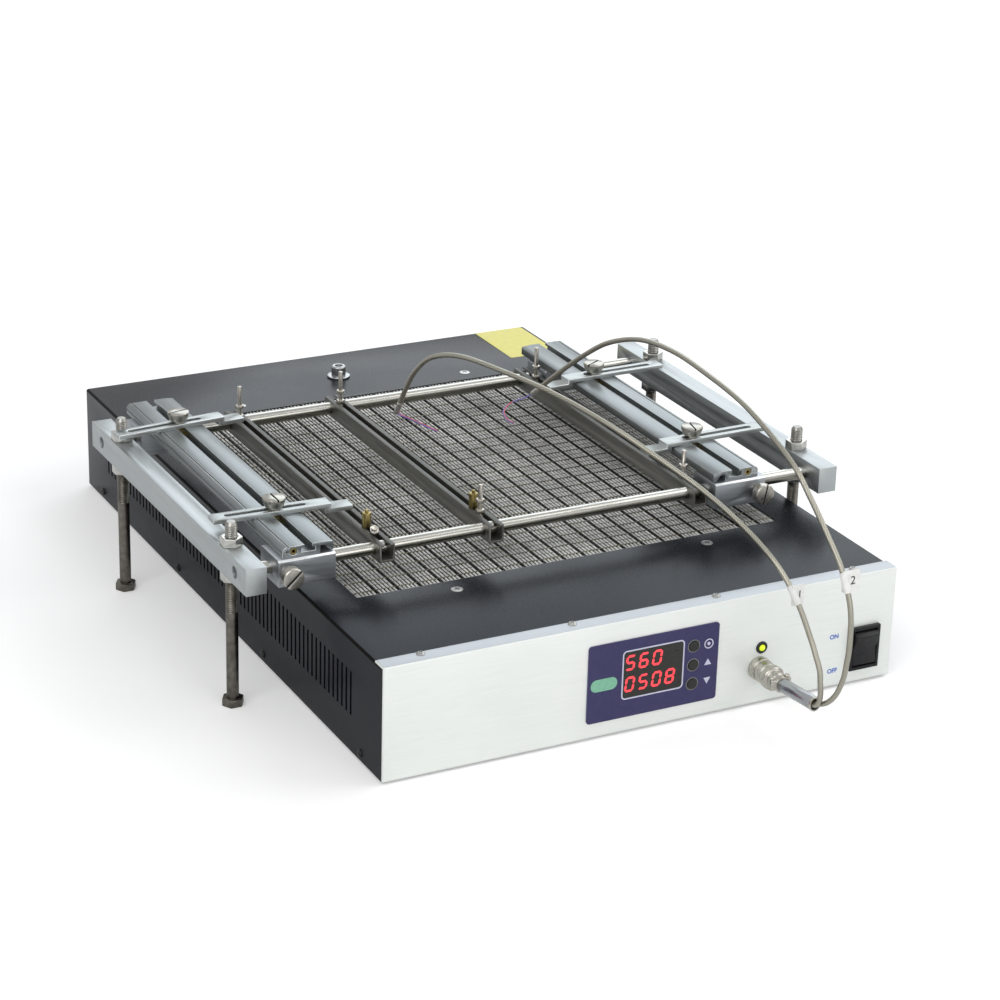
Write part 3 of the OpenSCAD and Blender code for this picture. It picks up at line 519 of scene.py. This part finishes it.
screw_zinc = finish("screw_zinc", (0.36, 0.36, 0.35), (0.58, 0.58, 0.56), metal=1.0, rough=0.34, grain=400)
# Painted shade: a near-black finish put in screw crosses, knob slots and the bars' rod holes for the shade inside them.
recess_painted_shade = finish("recess_painted_shade", (0.008, 0.008, 0.008), (0.02, 0.02, 0.02), metal=0.0, rough=0.6, grain=400)


def cross_head(radius, rise, place, way):
    """A domed screw head and, apart, a dark cross on it, which is painted shade for the cross recess."""
    dome = revolve(((0, 0), (radius, 0), (radius, rise * 0.35), (radius * 0.8, rise * 0.8), (radius * 0.4, rise),
                    (0, rise)), 24)
    bars = []
    first_turn = 0.3
    for turn in (first_turn, first_turn + math.pi / 2):
        bar = bmesh.new()
        bmesh.ops.create_cube(bar, size=1)
        bmesh.ops.scale(bar, vec=(radius * 1.05, radius * 0.22, rise * 0.1), verts=bar.verts)
        bmesh.ops.translate(bar, vec=(0, 0, rise * 0.97), verts=bar.verts)
        bmesh.ops.rotate(bar, cent=(0, 0, 0), matrix=Matrix.Rotation(turn, 3, "Z"), verts=bar.verts)
        bar.transform(pointing(way, place))
        bars.append(bar)
    dome.transform(pointing(way, place))
    return dome, bars


casing_w, casing_d, cover_top, lip_top = 372, 530, 78.4, 80
mesh_w = 314
wall_screw_in, wall_screw_up = 33, 7
wall_screw_step = (casing_d - 2 * wall_screw_in) / 3
small_head, large_head = 0.0028, 0.0040
heads, side_heads, crosses = [], [], []
screw_places = [((i * casing_w / 3.55, 9, lip_top), (0, 0, 1), small_head, 0.0014) for i in (-1.5, -0.5, 0.5, 1.5)]
screw_places += [((x * mesh_w * 0.297, y, cover_top), (0, 0, 1), large_head, 0.0006)
                 for x in (-1, 1) for y in (88, 450)]
screw_places += [((s * casing_w / 2, wall_screw_in + i * wall_screw_step, wall_screw_up), (s, 0, 0), small_head, 0.0012)
                 for s in (-1, 1) for i in range(4)]
for place, way, radius, rise in screw_places:
    dome, bars = cross_head(radius, rise, at(*place), way)
    (heads if way[2] else side_heads).append(dome)
    crosses += bars
dress("casing_screws", mesh_of("casing_screws", *heads), screw_zinc, "base", ("base_screws",))
screw_black = finish("screw_black", (0.03, 0.03, 0.028), (0.09, 0.09, 0.085), metal=1.0, rough=0.35, grain=400)
dress("side_wall_screws", mesh_of("side_wall_screws", *side_heads), screw_black, "base")
# The dark crosses are painted shade over the domes, not cut recesses.
dress("casing_screw_crosses", mesh_of("casing_screw_crosses", *crosses), recess_painted_shade, "base")

# Sticker on the cover: a plain yellow vinyl film at the back corner.
# It is stuck flat on the paint, close to the fold.
vinyl = finish("yellow_vinyl", (0.64, 0.57, 0.03), (0.74, 0.67, 0.07), metal=0.0, rough=0.35, grain=200, bump=0.04)
sticker = plate(width=0.041, height=0.063, thickness=0.00015, corner=0.002)
sticker.transform(Matrix.Translation(at(162.5, 497, cover_top)) @ Matrix.Rotation(-math.pi / 2, 4, "X"))
dress("yellow_sticker", mesh_of("yellow_sticker", sticker), vinyl, "base")

# Front panel: satin aluminium sheet, bent back over the cover as a narrow lip.
# It carries the display, buttons, light, sensor socket and power switch.
panel_satin = finish("panel_satin", (0.79, 0.82, 0.795), (0.86, 0.89, 0.865), metal=0.25, rough=0.42, grain=240,
                     stretch=(0.15, 1, 6), bump=0.04)
# Painted shade: the lip's top faces get a darker tone than the front, on a finish brushed the other way.
lip_painted_shade = finish("lip_painted_shade", (0.46, 0.49, 0.52), (0.54, 0.57, 0.60), metal=0.35, rough=0.42, grain=240,
                   stretch=(0.15, 6, 1), bump=0.05)
panel_low, panel_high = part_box("front_panel")


def on_bend(edge):
    """True for the panel's long front bend and the lip's and sides' outer edges."""
    return all(near(v.co.z, panel_high.z) or near(v.co.y, panel_low.y) for v in edge.verts) and all(
        near(v.co.z, panel_high.z) or near(v.co.x, panel_low.x) or near(v.co.x, panel_high.x) for v in edge.verts)


def second_finish(piece, material, wanted):
    """Gives the faces that a test picks out a finish of their own."""
    piece.data.materials.append(material)
    for face in piece.data.polygons:
        face.material_index = int(wanted(face))


panel = eased_piece("front_panel", 0.0009, panel_satin, "base", 3, on_bend)
# The lip's upward faces take the darker tone, which is painted shade.
second_finish(panel, lip_painted_shade, lambda face: face.normal.z > 0.95 and face.center.z > panel_high.z - 0.0005)
ink_blue = finish("ink_blue", (0.03, 0.10, 0.46), (0.05, 0.15, 0.56), metal=0.0, rough=0.5, grain=400, bump=0.0)
mark_height, mark_weight = 0.0044, 0.00014
for word, x, z in (("ON", 140, 38.0), ("OFF", 140.3, 13.2)):
    letters = lettering("mark_" + word.lower(), word, mark_height, at(x, -0.04, z), mark_weight)
    dress("mark_" + word.lower(), letters, ink_blue, "base")

# Display: a printed film on the panel with a smoked window, and red digits that glow behind it.
# The print has a pale line round the window, a ring and two arrows beside the buttons.
film = finish("overlay_film", (0.034, 0.032, 0.100), (0.044, 0.041, 0.120), metal=0.0, rough=0.38, grain=500,
              bump=0.05, shine=0.3)
film_low, film_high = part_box("display_overlay")


def on_corner(edge):
    """True for the film's four short corner edges."""
    a, b = (v.co for v in edge.verts)
    return near(a.x, b.x) and near(a.z, b.z) and (near(a.x, film_low.x) or near(a.x, film_high.x))


eased_piece("display_overlay", 0.0022, film, "base", 5, on_corner)
smoked = finish("smoked_window", (0.024, 0.024, 0.021), (0.032, 0.032, 0.028), metal=0.0, rough=0.3, grain=300,
                bump=0.03, shine=0.3)
print_pale = finish("print_pale", (0.52, 0.52, 0.66), (0.62, 0.62, 0.76), metal=0.0, rough=0.5, grain=400, bump=0.0)
film_y, print_thickness = -1.0, 0.0002
window_place = at(2, film_y, 42)
window = plate(width=0.0432, height=0.0322, thickness=0.00012, corner=0.0022)
window.transform(Matrix.Translation(window_place))
dress("display_window", mesh_of("display_window", window), smoked, "base")


def outline(bm, width):
    """Leaves only a line of that width round a plate's outer edge."""
    flat = [f for f in bm.faces if abs(f.normal.y) > 0.9 and len(f.verts) > 4]
    bmesh.ops.inset_region(bm, faces=flat, thickness=width, use_even_offset=True)
    inner = [f for f in bm.faces if abs(f.normal.y) > 0.9 and len(f.verts) > 4]
    bmesh.ops.delete(bm, geom=inner, context="FACES")
    loops = [e for e in bm.edges if e.is_boundary]
    bmesh.ops.bridge_loops(bm, edges=loops)
    bmesh.ops.recalc_face_normals(bm, faces=bm.faces)
    return bm


prints = []
ring_place, ring_width, dot_width, arrow_radius = at(42.6, film_y, 52.6), 0.0068, 0.0022, 0.0029
line = outline(plate(0.0452, 0.0342, print_thickness, corner=0.003), 0.0009)
ring = outline(plate(ring_width, ring_width, print_thickness, 0.0033, segments=8), 0.0007)
dot = plate(dot_width, dot_width, print_thickness, 0.001)
for shape, place in ((line, window_place), (ring, ring_place), (dot, ring_place)):
    shape.transform(Matrix.Translation(place))
    prints.append(shape)
for z, turn in ((39.2, 0), (27.2, math.pi)):
    arrow = bmesh.new()
    bmesh.ops.create_circle(arrow, cap_ends=True, segments=3, radius=arrow_radius)
    arrow.transform(Matrix.Translation(at(42.5, film_y, z)) @ Matrix.Rotation(math.pi / 2, 4, "X")
                    @ Matrix.Rotation(turn, 4, "Z"))
    grown = bmesh.ops.extrude_face_region(arrow, geom=arrow.faces[:])
    bmesh.ops.translate(arrow, vec=(0, -print_thickness, 0),
                        verts=[v for v in grown["geom"] if isinstance(v, bmesh.types.BMVert)])
    bmesh.ops.recalc_face_normals(arrow, faces=arrow.faces)
    prints.append(arrow)
dress("overlay_print", mesh_of("overlay_print", *prints), print_pale, "base")
mint_print = finish("print_mint", (0.16, 0.42, 0.28), (0.24, 0.52, 0.36), metal=0.0, rough=0.5, grain=400, bump=0.0)
pill = plate(width=0.019, height=0.0085, thickness=print_thickness, corner=0.004, segments=6)
pill.transform(Matrix.Translation(at(-33.5, film_y, 38.6)))
dress("overlay_badge", mesh_of("overlay_badge", pill), mint_print, "base")

glow_red = bpy.data.materials.new("digit_glow")
glow_red.use_nodes = True
glow = glow_red.node_tree.nodes["Principled BSDF"]
glow.inputs["Base Color"].default_value = (0.70, 0.03, 0.04, 1)
glow.inputs["Roughness"].default_value = 0.4
glow.inputs["Emission Color"].default_value = (1.0, 0.07, 0.09, 1)
glow.inputs["Emission Strength"].default_value = 0.75
segment_lines = {"a": (0, 1, 0), "b": (1, 0.5, 1), "c": (1, -0.5, 1), "d": (0, -1, 0), "e": (-1, -0.5, 1),
                 "f": (-1, 0.5, 1), "g": (0, 0, 0)}
numerals = {"0": "abcdef", "5": "afgcd", "6": "afgecd", "8": "abcdefg"}
digit_w, digit_h, stroke, slant = 0.0054, 0.0091, 0.0016, 0.13
first_x, digit_pitch, window_y, parting = -14.8, 9.75, film_y - 0.13, 0.00012
segments = []
for row_z, shown in ((50.3, "560"), (35.3, "0508")):
    for count, numeral in enumerate(shown):
        for part in numerals[numeral]:
            across, up, tall = segment_lines[part]
            bar = bmesh.new()
            bmesh.ops.create_circle(bar, cap_ends=True, segments=6, radius=1)
            half = (digit_h / 2 if tall else digit_w) / 2 - parting
            for vert in bar.verts:
                pointed = abs(vert.co.y) > 0.9
                along = math.copysign(half if pointed else half - stroke / 2, vert.co.y)
                vert.co = (along, 0 if pointed else math.copysign(stroke / 2, vert.co.x), 0)
            if tall:
                bmesh.ops.rotate(bar, cent=(0, 0, 0), matrix=Matrix.Rotation(math.pi / 2, 3, "Z"), verts=bar.verts)
            bmesh.ops.translate(bar, vec=(across * digit_w / 2, up * digit_h / 2, 0), verts=bar.verts)
            for vert in bar.verts:
                vert.co.x += slant * vert.co.y
            grown = bmesh.ops.extrude_face_region(bar, geom=bar.faces[:])
            bmesh.ops.translate(bar, vec=(0, 0, 0.0001),
                                verts=[v for v in grown["geom"] if isinstance(v, bmesh.types.BMVert)])
            bmesh.ops.recalc_face_normals(bar, faces=bar.faces)
            bar.transform(Matrix.Translation(at(first_x + digit_pitch * count, window_y, row_z))
                          @ Matrix.Rotation(math.pi / 2, 4, "X"))
            segments.append(bar)
dress("display_digits", mesh_of("display_digits", *segments), glow_red, "base")
repaint("display_module", finish("display_block", (0.05, 0.012, 0.012), (0.09, 0.02, 0.02), metal=0.0, rough=0.5,
                                 grain=200))

# Push buttons: three moulded plastic caps that spring back, each in a hole of the film.
# A grey ring in the film shows round each cap.
cap_black = finish("button_black", (0.014, 0.015, 0.014), (0.022, 0.023, 0.021), metal=0.0, rough=0.42, grain=700,
                   bump=0.06, shine=0.35)
ring_grey = finish("button_ring", (0.15, 0.15, 0.16), (0.22, 0.22, 0.23), metal=0.0, rough=0.45, grain=400, bump=0.0)
button_x, rim_width = 31.4, 0.0090
for key, z in (("set", 53), ("up", 39.7), ("down", 26.4)):
    eased_piece("button_" + key, 0.0006, cap_black, "key_" + key, 3)
    rim = outline(plate(rim_width, rim_width, thickness=0.0003, corner=0.00449, segments=10), 0.0006)
    rim.transform(Matrix.Translation(at(button_x, film_y, z)))
    dress("button_rim_" + key, mesh_of("button_rim_" + key, rim), ring_grey, "base")

# Status light: a yellow-green lens pressed into the panel, lit from behind.
# A dark collar holds it.
lens_green = bpy.data.materials.new("lens_green")
lens_green.use_nodes = True
lit = lens_green.node_tree.nodes["Principled BSDF"]
lit.inputs["Base Color"].default_value = (0.62, 0.80, 0.02, 1)
lit.inputs["Roughness"].default_value = 0.2
lit.inputs["Emission Color"].default_value = (0.66, 0.85, 0.02, 1)
lit.inputs["Emission Strength"].default_value = 0.45
dome = revolve(((0, 0), (0.0022, 0), (0.0022, 0.0009), (0.0018, 0.0017), (0.0010, 0.0021), (0, 0.0022)), 32)
collar = revolve(((0.0022, 0.0), (0.0042, 0.0), (0.0042, 0.0006), (0.0037, 0.0011), (0.0027, 0.0012),
                  (0.0022, 0.0009), (0.0022, 0.0)), 32)
for part in (dome, collar):
    part.transform(pointing((0, -1, 0), at(83.6, 0, 41.5)))
dress("status_lens", mesh_of("status_lens", dome), lens_green, "base", ("status_led",))
dress("led_collar", mesh_of("led_collar", collar), cap_black, "base")

# Sensor socket and power switch: a nickel panel socket with a nut behind the panel, and a black rocker
# in a snap-in frame. The rocker turns on two pins.
eased_piece("sensor_socket", 0.0003, nickel, "base")
switch_black = finish("switch_black", (0.008, 0.008, 0.009), (0.014, 0.014, 0.016), metal=0.0, rough=0.3, grain=500,
                      bump=0.02, shine=0.25)
eased_piece("switch_bezel", 0.0005, switch_black, "base", 3)
eased_piece("switch_rocker", 0.0005, switch_black, "rocker", 3)

# Heater: an insulation board, a reflector tray and quartz tubes in ceramic strips, all under the mesh.
# Heat has darkened them, so little of them shows through the wires.
scorched = finish("scorched_steel", (0.010, 0.010, 0.010), (0.030, 0.028, 0.026), metal=0.6, rough=0.6, grain=60)
repaint("insulation_board", finish("insulation_fibre", (0.40, 0.37, 0.31), (0.55, 0.52, 0.45), metal=0.0, rough=0.9,
                                   grain=300))
repaint("reflector_tray", scorched)
repaint("heater_tubes", finish("tube_quartz", (0.030, 0.028, 0.026), (0.060, 0.055, 0.050), metal=0.0, rough=0.35,
                               grain=90))
repaint("tube_holders", finish("strip_ceramic", (0.10, 0.095, 0.085), (0.17, 0.16, 0.14), metal=0.0, rough=0.8,
                               grain=250))

# Mesh: bright stainless wires run to the back, close together, tied every 15 mm by a cross wire with a thin one
# between.
# Dark wires, partly heat-blued and partly painted shade of the gaps, part them into strips, and a folded rim holds the
# edge.
mesh_play = 0.8
mesh_left, mesh_right = -mesh_w / 2 + mesh_play, mesh_w / 2 - mesh_play
mesh_front, mesh_back = 102 + mesh_play, 436 - mesh_play
wire_steel = finish("mesh_wire", (0.48, 0.48, 0.46), (1.0, 1.0, 0.98), metal=0.1, rough=0.36, grain=150,
                    stretch=(2.4, 0.7, 1))
wire_tie = finish("mesh_wire_tie", (0.05, 0.045, 0.03), (0.22, 0.205, 0.15), metal=0.6, rough=0.42, grain=200)
# Partly painted shade: near-black wires stand in for the dark gaps between strips, and partly for heat-blued wire.
gap_wire_tint_and_shade = finish("mesh_gap_wire_tint_and_shade", (0.006, 0.006, 0.005), (0.022, 0.021, 0.019), metal=0.4, rough=0.55, grain=240)


def wire_bar(start, end, radius, sides):
    """A straight wire between two points."""
    way = end - start
    bm = bmesh.new()
    bmesh.ops.create_cone(bm, cap_ends=True, segments=sides, radius1=radius, radius2=radius, depth=way.length,
                          matrix=pointing(way, (start + end) / 2))
    return bm


fine_pitch, fine_z, coarse_pitch = 2.7, 77.4, 15.0
first_wire, wires_in_strip, first_tie = 2.1, 5, 6
tie_z, gap_wire_z = fine_z + 0.6, fine_z + 0.7
fine_r, tie_r, thin_tie_r, gap_wire_r = 0.00075, 0.0005, 0.00022, 0.0006
fine, ties, gap_wires = [], [], []
for i in range(int((mesh_right - mesh_left) / coarse_pitch) + 1):
    strip = mesh_left + i * coarse_pitch
    for k in range(wires_in_strip):
        x = strip + first_wire + k * fine_pitch
        if x < mesh_right:
            fine.append(wire_bar(at(x, mesh_front, fine_z), at(x, mesh_back, fine_z), fine_r, sides=6))
    if i:
        gap_wires.append(wire_bar(at(strip, mesh_front, gap_wire_z), at(strip, mesh_back, gap_wire_z), gap_wire_r, sides=8))
for i in range(int((mesh_back - mesh_front) / coarse_pitch) + 1):
    y = mesh_front + first_tie + i * coarse_pitch
    ties.append(wire_bar(at(mesh_left, y, tie_z), at(mesh_right, y, tie_z), tie_r, sides=8))
    y_between = y + coarse_pitch / 2
    if y_between < mesh_back:
        ties.append(wire_bar(at(mesh_left, y_between, tie_z), at(mesh_right, y_between, tie_z), thin_tie_r, sides=6))
mesh_rim = outline(plate(width=0.332, height=0.352, thickness=0.0012, corner=0.002), 0.0122)
mesh_rim.transform(Matrix.Translation(at(0, 269, 75.8)) @ Matrix.Rotation(-math.pi / 2, 4, "X"))
dress("wire_mesh", mesh_of("wire_mesh", *fine), wire_steel, "base", ("mesh_grille",), smooth=60)
dress("wire_mesh_ties", mesh_of("wire_mesh_ties", *ties), wire_tie, "base", smooth=60)
dress("wire_mesh_gap_wires", mesh_of("wire_mesh_gap_wires", *gap_wires), gap_wire_tint_and_shade, "base", smooth=60)
dress("wire_mesh_rim", mesh_of("wire_mesh_rim", mesh_rim), wire_steel, "base")

# Electrics and fittings: control board and heat sink on the tray, mains inlet in the back wall,
# and the threaded steel post with its washer that takes an arm's stand.
repaint("control_board", finish("board_green", (0.02, 0.10, 0.05), (0.05, 0.18, 0.09), metal=0.0, rough=0.5,
                                grain=150))
repaint("heat_sink", finish("sink_grey", (0.30, 0.31, 0.32), (0.45, 0.46, 0.47), metal=1.0, rough=0.4, grain=150,
                            stretch=(1, 0.1, 1)))
eased_piece("mains_inlet", 0.0004, switch_black, "base")
post_steel = finish("post_steel", (0.26, 0.265, 0.27), (0.46, 0.47, 0.48), metal=1.0, rough=0.24, grain=300)
eased_piece("arm_post", 0.0003, post_steel, "base")

# Board holder: two aluminium side bars joined by ground steel rods, on four bolts for legs.
# The rods' lower faces are painted darker as shade, so they read bright on top and dark below.
# The bolts have rolled threads, and nuts above and below each bar lock them.
holder_middle, rod_off = -0.0225, 0.121
bar_satin = finish("bar_aluminium", (0.38, 0.405, 0.41), (0.50, 0.525, 0.53), metal=0.85, rough=0.42, grain=420,
                   stretch=(4, 0.05, 4), bump=0.1)
eased_piece("side_bars", 0.0005, bar_satin, "holder")
bars_low, bars_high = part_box("side_bars")
# Painted shade: thin near-black discs in the bars where the rods go in, for the shade inside the holes.
hollows = []
hollow_depth, hollow_z = 0.0029, 0.103
for x, way in ((bars_low.x + hollow_depth, -1), (bars_high.x - hollow_depth, 1)):
    for y in (-rod_off, rod_off):
        hollow = revolve(((0, 0), (0.0040, 0), (0.0040, 0.0002), (0, 0.0002)), 24)
        hollow.transform(pointing((way, 0, 0), (x, holder_middle + y, hollow_z)))
        hollows.append(hollow)
dress("rod_hole_painted_shade", mesh_of("rod_hole_painted_shade", *hollows), recess_painted_shade, "holder")
ground_steel = finish("ground_steel", (0.46, 0.455, 0.42), (0.60, 0.59, 0.55), metal=1.0, rough=0.2, grain=500,
                      stretch=(0.05, 4, 4), bump=0.04)
rods_low, rods_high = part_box("guide_rods")
rod_r, rod_chamfer, rod_middle = 0.0043, 0.0005, (rods_low.z + rods_high.z) / 2
rod_half = (rods_high.x - rods_low.x) / 2
rods = []
for y in (holder_middle - rod_off, holder_middle + rod_off):
    rod = revolve(((0, -rod_half), (rod_r - rod_chamfer, -rod_half), (rod_r, rod_chamfer - rod_half),
                   (rod_r, rod_half - rod_chamfer), (rod_r - rod_chamfer, rod_half), (0, rod_half)), 40)
    rod.transform(pointing((1, 0, 0), ((rods_low.x + rods_high.x) / 2, y, rod_middle)))
    rods.append(rod)
rod_piece = dress("guide_rods_piece", mesh_of("guide_rods", *rods), ground_steel, "holder",
                  ("guide_rods",))
# Painted shade: the rods' faces that turn downwards take a darker copy of the steel.
rod_painted_shade = finish("rod_painted_shade", (0.17, 0.166, 0.14), (0.26, 0.255, 0.22), metal=1.0, rough=0.28, grain=500,
                    stretch=(0.05, 4, 4), bump=0.04)
second_finish(rod_piece, rod_painted_shade, lambda face: face.normal.z < 0.36)
nut_steel = finish("nut_steel", (0.42, 0.415, 0.39), (0.66, 0.655, 0.62), metal=1.0, rough=0.24, grain=300, bump=0.06)
eased_piece("lock_nuts", 0.0006, nut_steel, "holder", 3)
# Painted shade: each leg bolt is a darker copy of its steel below the bars' tops and lighter above them.
leg_top_steel = finish("leg_top_steel", (0.22, 0.215, 0.20), (0.38, 0.375, 0.35), metal=1.0, rough=0.3, grain=260)
leg_steel = finish("leg_steel", (0.105, 0.098, 0.085), (0.235, 0.22, 0.195), metal=1.0, rough=0.34, grain=260)


def thread_profile(radius, bottom, top, pitch, depth):
    """The zigzag edge of a thread, as (radius, height) points."""
    turns = int((top - bottom) / pitch)
    edge = []
    for turn in range(turns):
        z = bottom + turn * pitch
        edge += [(radius - depth, z), (radius, z + pitch * 0.35), (radius, z + pitch * 0.6)]
    return edge


def hexagon(flats, height, round_over):
    """A six-sided head with broken corners, its flats towards X."""
    bm = bmesh.new()
    bmesh.ops.create_cone(bm, cap_ends=True, segments=6, radius1=flats / 2 / math.cos(math.pi / 6),
                          radius2=flats / 2 / math.cos(math.pi / 6), depth=height)
    bmesh.ops.rotate(bm, cent=(0, 0, 0), matrix=Matrix.Rotation(math.pi / 6, 3, "Z"), verts=bm.verts)
    bmesh.ops.translate(bm, vec=(0, 0, height / 2), verts=bm.verts)
    bmesh.ops.bevel(bm, geom=bm.edges[:], offset=round_over, offset_type="OFFSET", segments=2, profile=0.5,
                    affect="EDGES", material=-1)
    return bm


bolt_r, shank_from, shank_to, thread_from = 0.004, 0.004, 0.066, 0.0665
for corner in ("fl", "fr", "rl", "rr"):
    low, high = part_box("leg_bolt_" + corner)
    foot = Vector(((low.x + high.x) / 2, (low.y + high.y) / 2, 0))
    shank = [(0, shank_from), (bolt_r, shank_from), (bolt_r, shank_to)]
    shank += thread_profile(bolt_r, thread_from, high.z - 0.0014, pitch=0.00125, depth=0.00045)
    shank += [(0.0034, high.z - 0.001), (0.0028, high.z), (0, high.z)]
    bolt = revolve(shank, 28)
    head = hexagon(flats=0.013, height=0.0055, round_over=0.0006)
    for part in (bolt, head):
        part.transform(Matrix.Translation(foot))
    leg = dress("leg_" + corner + "_bolt", mesh_of("leg_" + corner, bolt, head), leg_steel, "leg_" + corner,
                ("leg_bolt_" + corner,), smooth=30)
    # The faces above the bars take the lighter steel, and those below keep the painted shade.
    second_finish(leg, leg_top_steel, lambda face: face.center.z > bars_high.z)

# Carriages: a pair of milled blocks on the rods carries an extruded rail with a T-slot.
# A slotted thumb screw in the front block locks each carriage on its rod, and a brass ring is pressed
# into the front end of each rail.
block_milled = finish("block_aluminium", (0.33, 0.355, 0.38), (0.46, 0.485, 0.51), metal=0.9, rough=0.4, grain=380,
                      stretch=(0.1, 3, 3), bump=0.1)
rail_drawn = finish("rail_aluminium", (0.20, 0.22, 0.225), (0.33, 0.35, 0.355), metal=0.9, rough=0.38, grain=520,
                    stretch=(5, 0.02, 5), bump=0.16)
# Painted highlight: a pale finish on chamfers and rounded edges, partly the bright cut aluminium and partly the light
# they catch.
edge_painted_highlight = finish("edge_aluminium_painted_highlight", (0.74, 0.76, 0.76), (0.86, 0.88, 0.88), metal=0.6, rough=0.3, grain=420,
                     bump=0.03)
knob_nickel = finish("knob_nickel", (0.36, 0.345, 0.31), (0.52, 0.50, 0.45), metal=1.0, rough=0.3, grain=420,
                     bump=0.02)
brass_dull = finish("brass_dull", (0.24, 0.19, 0.07), (0.42, 0.34, 0.15), metal=1.0, rough=0.34, grain=260, bump=0.05)
slot_r, slot_from, slot_to = 0.0052, 0.0003, 0.003
insert_in, insert_up = 0.0077, 0.0035
for side in ("left", "right"):
    body = side + "_carriage"
    blocks = eased_piece(side + "_blocks", 0.0004, block_milled, body)
    # The blocks' top chamfers and the rail's rounded edges take the painted highlight.
    second_finish(blocks, edge_painted_highlight, lambda face: face.normal.z > 0.5 and abs(face.normal.y) > 0.5)
    eased_piece(side + "_rail", 0.0004, rail_drawn, body, second=edge_painted_highlight)
    low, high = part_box(side + "_rail")
    insert = revolve(((0.0011, 0.0), (0.0023, 0.0), (0.0023, 0.004), (0.0011, 0.004), (0.0011, 0.0)), 24)
    insert_x = low.x + insert_in if side == "left" else high.x - insert_in
    insert.transform(pointing((0, 1, 0), (insert_x, low.y + 0.0004, low.z + insert_up)))
    dress(side + "_rail_insert", mesh_of(side + "_rail_insert", insert), brass_dull, body)
    low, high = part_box(side + "_rod_lock")
    lock = eased_piece(side + "_rod_lock", 0.0004, knob_nickel, side + "_lock")
    # Painted shade: the faces of the slot floor take the near-black finish for the shade down in the slot.
    second_finish(lock, recess_painted_shade, lambda face: (
        math.hypot(face.center.x - (low.x + high.x) / 2, face.center.z - (low.z + high.z) / 2) < slot_r
        and slot_from < face.center.y - low.y < slot_to))

# Clamp sets: a brass nut slides in the rail's T-slot, and a slotted thumb screw pulls the arm down on the rail.
# The arms are flat aluminium with a slot and a lower ledge that carries the work's edge.
arm_satin = finish("arm_aluminium", (0.34, 0.365, 0.36), (0.48, 0.505, 0.50), metal=0.9, rough=0.38, grain=420,
                   stretch=(0.06, 4, 4), bump=0.08)
for corner in ("lf", "lr", "rf", "rr"):
    repaint("clamp_nut_" + corner, brass_dull)
    # The arm's rounded edges take the painted highlight.
    eased_piece("clamp_arm_" + corner, 0.0003, arm_satin, "arm_" + corner, second=edge_painted_highlight)
    low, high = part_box("clamp_screw_" + corner)
    screw = eased_piece("clamp_screw_" + corner, 0.0003, knob_nickel, "screw_" + corner)
    # Painted shade: the faces of the slot floor take the near-black finish for the shade down in the slot.
    second_finish(screw, recess_painted_shade, lambda face: (
        math.hypot(face.center.x - (low.x + high.x) / 2, face.center.y - (low.y + high.y) / 2) < slot_r
        and slot_from < high.z - face.center.z < slot_to))

# Support channels: rolled zinc-plated sheet that slides along both rods, with studs and pillars on top.
# The studs have two nuts each, and the pillars on the left and middle channels are brass.
channel_grey = finish("channel_sheet", (0.17, 0.165, 0.15), (0.27, 0.265, 0.245), metal=0.9, rough=0.45, grain=260,
                      stretch=(3, 0.1, 3), bump=0.06)
stud_steel = finish("stud_steel", (0.36, 0.34, 0.30), (0.60, 0.57, 0.52), metal=1.0, rough=0.3, grain=420)
# Painted shade: the channel lips' top faces get a darker copy of the sheet.
lip_top_shade = finish("channel_lip", (0.10, 0.10, 0.095), (0.17, 0.17, 0.16), metal=0.9, rough=0.5, grain=260,
                  stretch=(3, 0.1, 3), bump=0.06)
pillar_places, pillar_r, stud_off = {}, 0.0031, 0.107
for side, beside_stud in (("left", 0.008), ("middle", 0.010)):
    low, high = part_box("channel_" + side)
    pillar_places[side] = ((low.x + high.x) / 2, holder_middle - stud_off + beside_stud)
for side in ("left", "middle", "right"):
    channel = eased_piece("channel_" + side, 0.0002, channel_grey, side + "_channel")
    # The upward faces above the rods take the painted shade.
    second_finish(channel, lip_top_shade, lambda face: face.normal.z > 0.9 and face.center.z > rod_middle)
    posts = eased_piece("posts_" + side, 0.0002, stud_steel, side + "_channel")
    if side in pillar_places:
        x, y = pillar_places[side]
        second_finish(posts, brass_dull, lambda face: math.hypot(face.center.x - x, face.center.y - y) < pillar_r)
